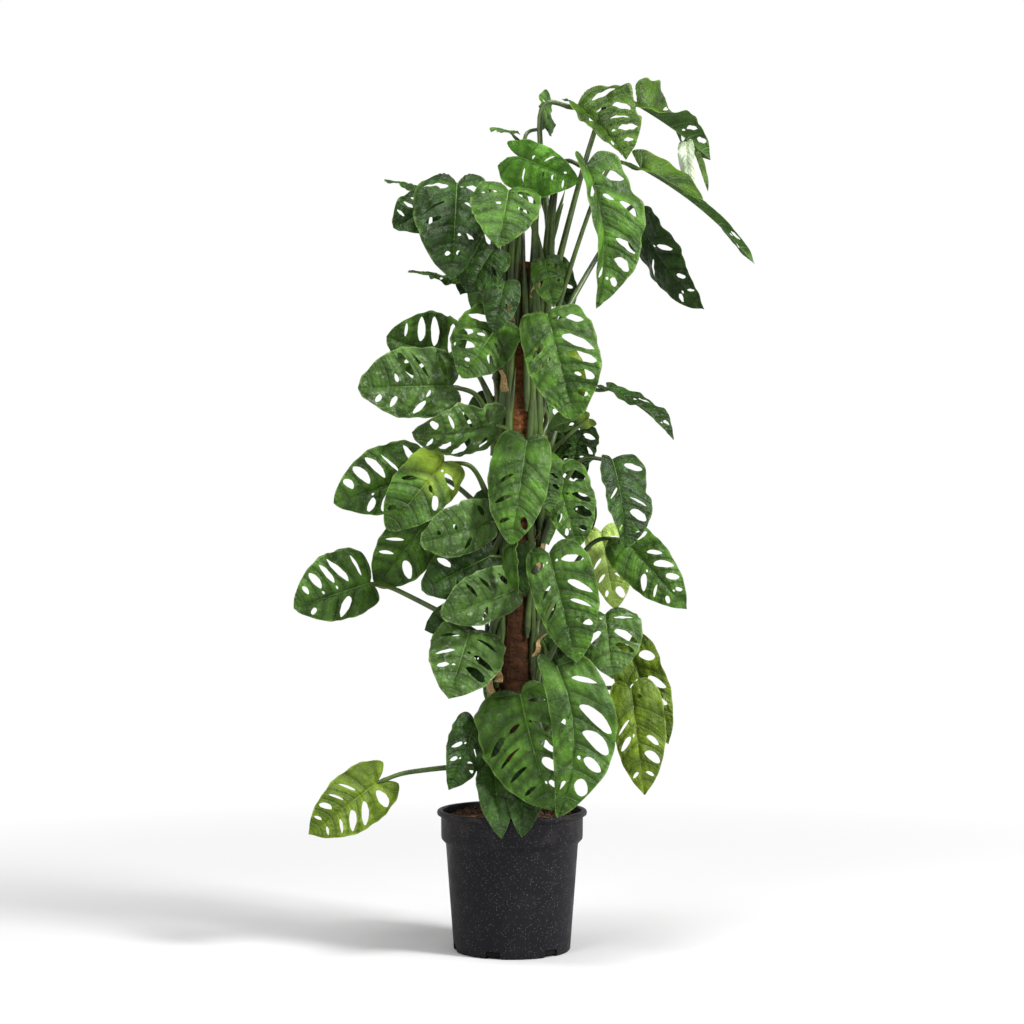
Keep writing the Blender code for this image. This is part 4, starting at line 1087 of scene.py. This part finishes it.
def aerial_root(vine, height, chance):
    """A root that leaves a stem sideways, bends down and ends in the coir or beside it."""
    start = stem_point(vine, height)
    side = chance.choice((-1.0, 1.0)) * chance.uniform(0.35, 1.0)
    stations = [start]
    for fall, turn, off in ((4.0, 0.25, 9.0), (26.0, 0.7, 7.0), (58.0, 1.0, 2.5)):
        fall *= chance.uniform(0.7, 1.5)
        out = (start - pole_axis(height)).normalized()
        out.rotate(Matrix.Rotation(side * turn, 3, "Z"))
        stations.append(pole_axis(height - fall) + out * (POLE_RADIUS + off))
    way = smooth_way(stations, ROOT_STEPS)
    thick = chance.uniform(0.9, 1.7)
    radii = [thick * (1.0 - 0.6 * i / ROOT_STEPS) for i in range(ROOT_STEPS + 1)]
    root = grow_tube("root", way, radii, sides=6)
    root.data.materials.append(root_skin)
    return root


print("root finish:", root_skin.name)

# %% A dry sheath
# Dead leaf sheath: thin, papery and pale, the lightest tan spots on the pole.
paper_tan = earth("dry_sheath", "#7d6238", "#c2a675", 300.0, 0.85)


def dry_sheath(height, turn, length, width):
    """A torn papery strip that clings to a stem at its foot and curls away at its head."""
    deselect_all()
    bpy.ops.mesh.primitive_grid_add(x_subdivisions=3, y_subdivisions=10, size=1.0)
    strip = bpy.context.object
    for vertex in strip.data.vertices:
        across, up = vertex.co.x, vertex.co.y + 0.5
        angle = math.radians(turn) + across * width * (1.0 - 0.7 * up) / POLE_RADIUS
        stand = POLE_RADIUS + 12.0 + 15.0 * up * up + 3.0 * math.sin(9.0 * up + height)
        out = Vector((math.cos(angle), math.sin(angle), 0.0))
        vertex.co = (pole_axis(height + up * length) + out * stand) * MM
    strip.data.materials.append(paper_tan)
    return strip


print("sheath finish:", paper_tan.name)

# %% Grow the roots
chance = random.Random(29)
roots = [
    aerial_root(vine, height + chance.uniform(-20.0, 20.0), chance)
    for vine in VINES.values()
    for height in range(270, 1040, 70)
]
tangle = join_pieces("aerial_roots", roots)
finish_round(tangle, 70.0)
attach(tangle, "root")
print("roots:", len(roots), "with", len(tangle.data.polygons), "faces")

# %% Lay the sheaths
# Each strip's height, turn round the pole, length and width. The first three hang front left.
SHEATHS = (
    (392, 226, 46, 16), (430, 238, 40, 12), (356, 232, 34, 14), (560, 236, 38, 12),
    (700, 228, 44, 14), (884, 240, 40, 12), (930, 312, 48, 13), (780, 322, 42, 12),
    (610, 318, 40, 14), (470, 326, 36, 12), (990, 250, 44, 12), (1040, 300, 40, 12),
    (640, 86, 42, 14), (840, 104, 44, 12), (460, 96, 38, 12),
)
scraps = join_pieces("dry_sheaths", [dry_sheath(*row) for row in SHEATHS])
apply_modifier(scraps, "SOLIDIFY", thickness=0.5 * MM)
finish_round(scraps, 70.0)
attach(scraps, "root")
print("sheaths:", len(SHEATHS), "with", len(scraps.data.polygons), "faces")

# %% [markdown]
# ## The blades
#
# A blade is a thin sheet, cut through by long holes between its side veins, quilted where the
# blade swells between the veins, bowed along its midrib and curled down at its margins. It could be
# drawn as a picture on a card, but then light would not catch its edges, so each blade is cut as a
# mesh: its outline and its holes are drawn as circles laid flat, filled, and cut into small squares
# by rows of bisects. Each point is then lifted to where the bent blade has it. Solidify gives it a
# real thickness, and a tapering rib is laid under its middle.
#
# The pattern of veins has to follow the surface, so two UV maps are kept: one counts the side veins
# out from the stalk and the way out along them, the other gives the way along and across the
# midrib.

# %% The outline, laid flat
def blade_length(leaf):
    """From the stalk's end to the tip."""
    return (Vector(leaf.tip) - Vector(leaf.base)).length


def half_outline(leaf):
    """Half of this blade's outline: heart deepens its lobes, blunt under 1 fills out its tip."""
    return [(t * leaf.heart if t < 0 else t**leaf.blunt, s) for t, s in HALF_OUTLINE]


def margin_share(leaf, t):
    """The outline's half width at t, as a share of the widest."""
    ts, widths = zip(*half_outline(leaf)[1:], (1.0, 0.0))
    return np.interp(t, ts, widths)


def lean_of(leaf, start, share):
    """How far along the blade a side vein has come: it leaves the midrib and leans to the tip."""
    ramp = np.clip((start - 0.04 * leaf.heart) / 0.2, -0.4, 1.0)
    return start + VEIN_LEAN * (1.0 - start) * ramp * share**1.3


def outline_points(leaf, length):
    """A smooth outline from the notch round the left half, the tip and the right half."""
    tip = [Vector((0.962, 0.12 + 0.55 * (1.0 - leaf.blunt))), Vector((1.0, 0.0))]
    way = [Vector((0.0, 0.0)), *[Vector(point) for point in half_outline(leaf)], *tip]
    half = smooth_way(way, 6 * (len(way) - 1))
    seed = leaf.tip[0] * 0.3
    left = [(p.x * length, p.y * leaf.left * uneven_edge(p.x, seed)) for p in half]
    back = reversed(half[1:-1])
    right = [(p.x * length, -p.y * leaf.right * uneven_edge(p.x, seed + 2.0)) for p in back]
    return left + right


def uneven_edge(t, seed):
    """A margin is never a clean curve: it waves a little in and out."""
    return 1.0 + 0.018 * math.sin(17.0 * t + seed) + 0.012 * math.sin(41.0 * t + 2.0 * seed)


print("outline of", LEAVES[0].name, "has", len(outline_points(LEAVES[0], 100.0)), "points")

# %% The holes, laid flat
HOLE_STEPS = 16


def hole_points(leaf, length, chance):
    """Each hole as a smooth loop between two side veins, no two quite the same."""
    loops = []
    for code, half in ((leaf.left_holes, leaf.left), (leaf.right_holes, -leaf.right)):
        band = HOLE_SPAN / max(1, len(code))
        for k, letter in enumerate(code):
            start = (k + 0.5 + chance.uniform(-0.03, 0.03)) * band
            for inner, outer, wide in HOLES[letter]:
                if outer < 0.3 and chance.random() < 0.5:
                    continue
                wide *= chance.uniform(0.85, 1.12)
                skew = chance.uniform(-0.25, 0.25)
                loop = []
                for step in range(HOLE_STEPS):
                    turn = math.tau * step / HOLE_STEPS
                    share = inner + (outer - inner) * (0.5 - 0.5 * math.cos(turn))
                    side = math.sin(turn) * abs(math.sin(turn)) ** 0.3
                    side *= 1.0 + skew * math.cos(turn)
                    t = lean_of(leaf, start, share)
                    s = share * margin_share(leaf, t)
                    loop.append(((t + side * wide * band) * length, s * half))
                loops.append(loop)
    return loops


print("holes of", LEAVES[0].name, len(hole_points(LEAVES[0], 100.0, random.Random(0))))

# %% Cut the flat blade
# The side of a blade's cells in millimetres, and how the names of the three kinds begin.
CELL = 3.6
BLADE_NAMES = {"leaf": "blade_", "young": "young_blade_", "torn": "torn_strip_"}


def cut_blade(leaf):
    """The flat blade: circles reshaped to outline and holes, filled and bisected into cells."""
    length = blade_length(leaf)
    loops = [outline_points(leaf, length), *hole_points(leaf, length, random.Random(leaf.name))]
    deselect_all()
    bpy.ops.mesh.primitive_circle_add(vertices=len(loops[0]), radius=1.0, enter_editmode=True)
    for loop in loops[1:]:
        bpy.ops.mesh.primitive_circle_add(vertices=len(loop), radius=1.0)
    bpy.ops.object.mode_set(mode="OBJECT")
    blade = bpy.context.object
    flat = [point for loop in loops for point in loop]
    for vertex, (u, v) in zip(blade.data.vertices, flat):
        vertex.co = (u * MM, v * MM, 0.0)
    bpy.ops.object.mode_set(mode="EDIT")
    bpy.ops.mesh.select_all(action="SELECT")
    bpy.ops.mesh.fill(use_beauty=True)
    us = [u for u, v in flat]
    for u in np.arange(min(us) + CELL, max(us), CELL):
        bpy.ops.mesh.select_all(action="SELECT")
        bpy.ops.mesh.bisect(plane_co=(u * MM, 0.0, 0.0), plane_no=(1.0, 0.0, 0.0))
    rows = int(leaf.left / CELL) + 1, int(leaf.right / CELL) + 1
    for row in range(-rows[1], rows[0] + 1):
        bpy.ops.mesh.select_all(action="SELECT")
        bpy.ops.mesh.bisect(plane_co=(0.0, row * CELL * MM, 0.0), plane_no=(0.0, 1.0, 0.0))
    bpy.ops.mesh.select_all(action="SELECT")
    bpy.ops.mesh.remove_doubles(threshold=0.0002)
    bpy.ops.object.mode_set(mode="OBJECT")
    if sum(polygon.normal.z for polygon in blade.data.polygons) < 0:
        blade.data.flip_normals()
    kind, number = leaf.name.split("_")
    blade.name = BLADE_NAMES[kind] + number
    return blade


trial = cut_blade(LEAVES[0])
print("a flat blade has", len(trial.data.polygons), "faces")
bpy.data.objects.remove(trial)


# %% Where each point of a blade lies
def blade_shape(leaf, u, v, relief):
    """Lifts flat points, in millimetres, to the bent blade, with relief out of its face."""
    along, up, left = (np.array(axis) for axis in leaf_axes(leaf))
    base = np.array(leaf.base, float)
    length = blade_length(leaf)
    t = u / length
    bow = 4.0 * t * (1.0 - t) * length
    slope = 4.0 * leaf.arch * (1.0 - 2.0 * t)
    half = np.where(v > 0, leaf.left, leaf.right)
    side = np.where(v < 0, -1.0, 1.0)
    share = np.abs(v) / half
    fold, curl = math.radians(leaf.fold), math.radians(leaf.curl)
    out = half / curl * (math.sin(fold) - np.sin(fold - curl * share))
    rise = half / curl * (np.cos(fold - curl * share) - math.cos(fold))
    # Three waves along the margin: a slow one, a quicker one and a fine frill.
    seed = leaf.base[0] + leaf.tip[2]
    slow = np.sin(5.5 * t + 1.7 * seed + 3.0 * side) * np.clip(3.0 * t, 0.0, 1.0)
    rise = rise + 0.16 * half * share**1.5 * slow
    rise = rise + 0.09 * half * share**2 * np.sin(15.0 * t + seed + 2.0 * side)
    rise = rise + 0.04 * half * share**3 * np.sin(38.0 * t + 2.0 * seed + side) + relief
    twist = math.radians(leaf.twist) * t
    cos, sin = np.cos(twist), np.sin(twist)
    size = np.sqrt(1.0 + slope * slope)
    across = (left * cos[:, None] + up * sin[:, None]) * side[:, None]
    face = (up * cos[:, None] - left * sin[:, None] - along * slope[:, None]) / size[:, None]
    middle = base + along * u[:, None] + up * (leaf.arch * bow)[:, None]
    middle = middle + left * (leaf.sway * bow)[:, None]
    return middle + across * out[:, None] + face * rise[:, None]


far_end = np.array([blade_length(LEAVES[0])])
print("leaf_01 ends at", blade_shape(LEAVES[0], far_end, 0.0 * far_end, 0.0 * far_end)[0].round(1))


# %% The veins of a blade
def vein_start(leaf, t, share):
    """Where on the midrib the side vein through a point starts, found by halving."""
    low, high = np.full(t.shape, -0.3), np.full(t.shape, 1.0)
    for _ in range(14):
        middle = (low + high) / 2.0
        beyond = lean_of(leaf, middle, share) > t
        high = np.where(beyond, middle, high)
        low = np.where(beyond, low, middle)
    return (low + high) / 2.0


def vein_map(leaf, u, v, length):
    """For each point: the count of side veins up to it, and its share of the way to the margin."""
    t = u / length
    half = np.where(v > 0, leaf.left, leaf.right)
    share = np.abs(v) / half / np.maximum(margin_share(leaf, t), 0.05)
    share = np.clip(share, 0.0, 1.0)
    start = vein_start(leaf, t, share)
    counts = np.where(v > 0, len(leaf.left_holes), len(leaf.right_holes))
    return start / HOLE_SPAN * np.maximum(counts, 1), share


def blade_relief(leaf, u, v, length, phase, share):
    """The blade swells between its side veins, puckers across them, and sinks along its midrib."""
    size = (leaf.left + leaf.right) / 100.0
    first, second = phase - np.floor(phase), 2.0 * phase - np.floor(2.0 * phase)
    wide, narrow = 4.0 * first * (1.0 - first), 4.0 * second * (1.0 - second)
    reach = share**0.4 * (1.18 - share) * np.clip(2.3 - 2.2 * u / length, 0.0, 1.0)
    swell = size * (4.6 * wide + 2.2 * narrow) * reach
    seed = leaf.base[0] * 0.7 + leaf.tip[2]
    ripple = np.sin(24.0 * share + 2.4 * np.floor(2.0 * phase) + seed)
    pucker = 1.3 * size * narrow * ripple * np.sqrt(share)
    groove = -1.5 * size * np.exp(-((v / 4.0) ** 2)) * np.clip(1.0 - u / length, 0.0, 1.0)
    uneven = 1.1 * np.sin(u / 11.0 + seed) * np.sin(v / 8.5 + 2.0 * seed)
    return swell + pucker + groove + uneven * np.clip(share * 3.0, 0.0, 1.0)


print("the blade's veins are ready")

# %% [markdown]
# ## Leaf finishes
#
# The upper face of a mature blade is a waxy deep green, mottled in soft patches, a little lighter
# along its veins and grey in places, partly dust and partly painted sheen. The underside is paler
# and duller. Other leaves are darker, which is partly painted shade, or fresh green, lime or olive.
# All of them share one recipe with their own colours. The veins come from the UV maps that the
# blades keep, and the patches, dust and painted sheen from noise in Object coordinates, so that no
# two leaves look alike.


# %% The veins' lines
def vein_lines(tree, sides, middle):
    """1 on the midrib and the side veins, less on the finer ones halfway, and 0 elsewhere."""
    across = add(tree, "Math", {0: middle.outputs["Y"]}, operation="ABSOLUTE")
    # The midrib is 1.7 mm wide at the stalk and a third of that at the tip.
    narrow = add(tree, "MapRange", {"Value": middle.outputs["X"], 3: 0.017, 4: 0.006})
    ratio = add(tree, "Math", {0: across, 1: narrow}, operation="DIVIDE")
    rib = add(tree, "MapRange", {"Value": ratio, 1: 0.6, 2: 1.2, 3: 1.0, 4: 0.0})
    # A side vein lies at every whole number of the count, and a finer one halfway. Real ones are
    # half a millimetre wide and are drawn at twice that, so that they show.
    away = add(tree, "Math", {0: sides.outputs["X"], 1: 0.5}, operation="PINGPONG")
    thin = add(tree, "MapRange", {"Value": sides.outputs["Y"], 3: 0.050, 4: 0.018})
    ratio = add(tree, "Math", {0: away, 1: thin}, operation="DIVIDE")
    first = add(tree, "MapRange", {"Value": ratio, 1: 0.3, 2: 1.0, 3: 1.0, 4: 0.0})
    away = add(tree, "Math", {0: sides.outputs["X"], 1: 0.25}, operation="PINGPONG")
    second = add(tree, "MapRange", {"Value": away, 1: 0.004, 2: 0.02, 3: 0.35, 4: 0.0})
    both = add(tree, "Math", {0: first, 1: second}, operation="MAXIMUM")
    return add(tree, "Math", {0: both, 1: rib}, operation="MAXIMUM")


print("the veins' recipe is ready")


# %% The blade's skin
def leaf_relief(tree, place, sides, veins, raised):
    """Veins, a net of the finest veins about 3 mm apart, ribs between them, and wrinkles."""
    net = add(tree, "TexVoronoi", {"Vector": place, "Scale": 330.0}, feature="DISTANCE_TO_EDGE")
    cells = add(tree, "MapRange", {"Value": net, 1: 0.0, 2: 0.25, 3: 0.0, 4: 0.22})
    stand = add(tree, "Math", {0: veins, 1: raised, 2: cells}, operation="MULTIPLY_ADD")
    ribs = add(tree, "Math", {0: sides.outputs["X"], 1: 0.125}, operation="PINGPONG")
    stand = add(tree, "Math", {0: ribs, 1: 4.5, 2: stand}, operation="MULTIPLY_ADD")
    bump = add(tree, "Bump", {"Height": stand, "Strength": 0.65, "Distance": 0.0011})
    # Wrinkles about a centimetre apart break up the shine.
    waves = add(tree, "TexNoise", {"Vector": place, "Scale": 110.0, "Detail": 1.5,
                                   "Distortion": 0.6})
    wrinkles = {"Height": waves, "Strength": 0.60, "Distance": 0.0045, "Normal": bump}
    return add(tree, "Bump", wrinkles)


print("the skin's recipe is ready")


# %% The recipe of a leaf's finish
def leaf_finish(name, deep, light, vein, dust_and_sheen, gloss, raised, vein_strength, young=None):
    """One face of a blade. raised is above 0 for veins that stand up and below 0 for sunk ones.

    young is the colour of the end at the stalk, where a blade is still turning green.
    """
    finish, tree, shader, place = new_finish(name, gloss)
    sides = add(tree, "UVMap", uv_map="side_veins")
    sides = add(tree, "SeparateXYZ", {"Vector": sides})
    middle = add(tree, "UVMap", uv_map="midrib")
    middle = add(tree, "SeparateXYZ", {"Vector": middle})
    veins = vein_lines(tree, sides, middle)
    # Patches of two greens, about 4 cm, and a fine grain of 3 mm.
    patches = add(tree, "TexNoise", {"Vector": place, "Scale": 26.0, "Detail": 2.0})
    share = add(tree, "MapRange", {"Value": patches, 1: 0.34, 2: 0.66})
    tone = add(tree, "Mix", {0: share, 6: deep, 7: light}, data_type="RGBA")
    grain = add(tree, "TexNoise", {"Vector": place, "Scale": 340.0, "Detail": 2.0,
                                   "Roughness": 0.7})
    fine = add(tree, "MapRange", {"Value": grain, 1: 0.3, 2: 0.7, 3: 0.0, 4: 0.4})
    tone = add(tree, "Mix", {0: fine, 6: tone, 7: light}, data_type="RGBA")
    if young:
        wander = {0: patches, 1: 0.5, 2: middle.outputs["X"]}
        wander = add(tree, "Math", wander, operation="MULTIPLY_ADD")
        turning = add(tree, "MapRange", {"Value": wander, 1: 0.42, 2: 0.66, 3: 0.85, 4: 0.0})
        tone = add(tree, "Mix", {0: turning, 6: tone, 7: young}, data_type="RGBA")
    # The valley along each side vein lies in a little shade.
    away = add(tree, "Math", {0: sides.outputs["X"], 1: 0.5}, operation="PINGPONG")
    shade = add(tree, "MapRange", {"Value": away, 1: 0.0, 2: 0.30, 3: 0.70, 4: 0.0})
    tone = add(tree, "Mix", {0: shade, 6: tone, 7: deep}, data_type="RGBA")
    lit = add(tree, "Math", {0: veins, 1: vein_strength}, operation="MULTIPLY")
    tone = add(tree, "Mix", {0: lit, 6: tone, 7: vein}, data_type="RGBA")
    edge = {"Value": sides.outputs["Y"], 1: 0.955, 2: 0.995, 3: 0.0, 4: 0.45}
    edge = add(tree, "MapRange", edge)
    tone = add(tree, "Mix", {0: edge, 6: tone, 7: vein}, data_type="RGBA")
    # Whitish smears of 1 to 2 cm, partly dust and partly painted sheen, and the wax is duller under
    # them.
    smear = add(tree, "TexNoise", {"Vector": place, "Scale": 75.0, "Detail": 4.0,
                                   "Roughness": 0.75})
    dust_and_sheen_share = add(tree, "MapRange", {"Value": smear, 1: 0.56, 2: 0.78, 3: 0.0, 4: dust_and_sheen})
    tone = add(tree, "Mix", {0: dust_and_sheen_share, 6: tone, 7: "#a9b49f"}, data_type="RGBA")
    rough = {"Value": smear, 1: 0.35, 2: 0.7, 3: gloss - 0.02, 4: gloss + 0.16}
    rough = add(tree, "MapRange", rough)
    relief = leaf_relief(tree, place, sides, veins, raised)
    plug(tree, shader, {"Base Color": tone, "Roughness": rough, "Normal": relief})
    plug(tree, shader, {"Specular IOR Level": 0.17})
    return finish


print("the leaves' recipe is ready")

# %% The greens
# Deep, light and vein colour, dust and painted sheen, roughness, how the veins stand, how strongly
# they are drawn.
UPPER_LOOKS = {
    # A waxy full green with soft highlights on the quilting.
    "mature": ("#1b2f09", "#44691c", "#6b8741", 0.16, 0.38, -0.8, 0.14),
    # The same under dust and painted sheen: greyer and flatter.
    "dusty": ("#21350f", "#446325", "#768c50", 0.60, 0.44, -0.8, 0.16),
    # An old leaf, darker still with painted shade where it sits in the plant's shade: almost bottle
    # green.
    "dark": ("#122206", "#2a4811", "#557033", 0.16, 0.37, -0.8, 0.12),
    # A new leaf: clean and bright, with raised pale veins.
    "fresh": ("#234707", "#4a7a16", "#7fa24c", 0.04, 0.38, 0.8, 0.22),
    # A blade that was just unrolled: pale yellow green, soft and dull.
    "lime": ("#8aa646", "#b2ca6d", "#d0dc9b", 0.04, 0.44, -0.8, 0.30),
    # An ageing leaf, yellowish between its veins.
    "olive": ("#32460a", "#637a19", "#8b9a42", 0.12, 0.38, -0.8, 0.20),
    # Green at the tip and still yellow green at the stalk.
    "turning": ("#1b2f09", "#44691c", "#748d46", 0.12, 0.38, -0.8, 0.18, "#87a22f"),
    # At the top, where the sun reaches it: a warmer green, with no dust.
    "sunny": ("#172a03", "#3b580a", "#667c2c", 0.06, 0.38, -0.8, 0.14),
    # A torn strip that dries out: whitish and matt.
    "pale": ("#8ea07c", "#c2cdb4", "#d5dcc8", 0.30, 0.50, -0.8, 0.20),
}
# Undersides have no wax: paler and duller, with veins that stand up.
UNDER_LOOKS = {
    "mature": ("#2f4a1a", "#4a6a2d", "#77925a", 0.08, 0.50, 1.0, 0.45),
    "dark": ("#273f17", "#3e5a27", "#68824a", 0.08, 0.50, 1.0, 0.45),
    # The dark underside carries the same painted shade.
    "fresh": ("#43691f", "#5e8534", "#8dab66", 0.06, 0.48, 1.0, 0.45),
    "lime": ("#86a04a", "#a5bb6b", "#cad797", 0.05, 0.48, 1.0, 0.45),
    "olive": ("#455818", "#62782e", "#8f9d56", 0.08, 0.50, 1.0, 0.45),
    "turning": ("#2f4a1a", "#4a6a2d", "#77925a", 0.08, 0.50, 1.0, 0.45, "#8ea53c"),
}
UPPER = {look: leaf_finish(f"leaf_{look}_upper", *row) for look, row in UPPER_LOOKS.items()}
UNDER = {look: leaf_finish(f"leaf_{look}_under", *row) for look, row in UNDER_LOOKS.items()}
UNDER.update(dusty=UNDER["mature"], sunny=UNDER["mature"], pale=UNDER["lime"])
print("leaf finishes:", len(UPPER_LOOKS) + len(UNDER_LOOKS))

# %% Leaves that look unlike their slot
LOOKS = {"torn_01": "pale"}
for look, names in (
    ("turning", "leaf_31 leaf_20"),
    ("sunny", "leaf_01 leaf_02 leaf_03 torn_02"),
    ("dusty", "leaf_18 leaf_29 leaf_33 leaf_36 leaf_41 leaf_16"),
):
    LOOKS.update({name: look for name in names.split()})
print("leaves with a look of their own:", len(LOOKS))

# %% Lift a blade and lay its rib
# The map across the midrib counts in steps of 50 mm.
MIDRIB_UNIT = 50.0
RIB_STEPS = 16


def lift_blade(leaf, blade):
    """Moves the flat blade's points to the bent blade, and keeps the two maps of its veins."""
    length = blade_length(leaf)
    mesh = blade.data
    flat = np.empty(len(mesh.vertices) * 3)
    mesh.vertices.foreach_get("co", flat)
    u, v = flat.reshape(-1, 3)[:, 0] / MM, flat.reshape(-1, 3)[:, 1] / MM
    phase, share = vein_map(leaf, u, v, length)
    corners = np.empty(len(mesh.loops), int)
    mesh.loops.foreach_get("vertex_index", corners)
    for name, first, second in (
        ("side_veins", phase, share),
        ("midrib", u / length, v / MIDRIB_UNIT),
    ):
        layer = mesh.uv_layers.new(name=name)
        pairs = np.stack([first[corners], second[corners]], axis=1)
        layer.data.foreach_set("uv", pairs.ravel())
    relief = blade_relief(leaf, u, v, length, phase, share)
    mesh.vertices.foreach_set("co", (blade_shape(leaf, u, v, relief) * MM).ravel())
    mesh.update()


def rib_under(leaf):
    """A tapering rib under the middle of the blade."""
    length = blade_length(leaf)
    u = np.linspace(0.0, 0.96, RIB_STEPS) * length
    size = (leaf.left + leaf.right) / 100.0
    places = blade_shape(leaf, u, np.zeros_like(u), -0.9 * size * (1.0 - u / length) - 0.25)
    radii = [0.25 + 1.15 * size * (1.0 - share) for share in u / length]
    return grow_tube("rib", [Vector(place) for place in places], radii, sides=6)


print("a rib has", RIB_STEPS, "stations")

# %% Grow the blades
BLADE_THICKNESS = 0.55 * MM


def grow_blade(leaf):
    """One finished leaf blade."""
    blade = cut_blade(leaf)
    lift_blade(leaf, blade)
    look = LOOKS.get(leaf.name, leaf.colour)
    blade.data.materials.append(UPPER[look])
    blade.data.materials.append(UNDER[look])
    apply_modifier(
        blade, "SOLIDIFY", thickness=BLADE_THICKNESS, offset=0.0,
        material_offset=1, material_offset_rim=1,
    )
    rib = rib_under(leaf)
    rib.data.materials.append(UNDER[leaf.colour])
    grown = join_pieces(blade.name, [blade, rib])
    finish_round(grown, 55.0)
    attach(grown, "root")
    if leaf in LEAVES:
        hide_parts(leaf.name)
    return grown


total = 0
for leaf in LEAVES + YOUNG + TORN:
    total += len(grow_blade(leaf).data.polygons)
print("blades:", len(LEAVES + YOUNG + TORN), "with", total, "faces")
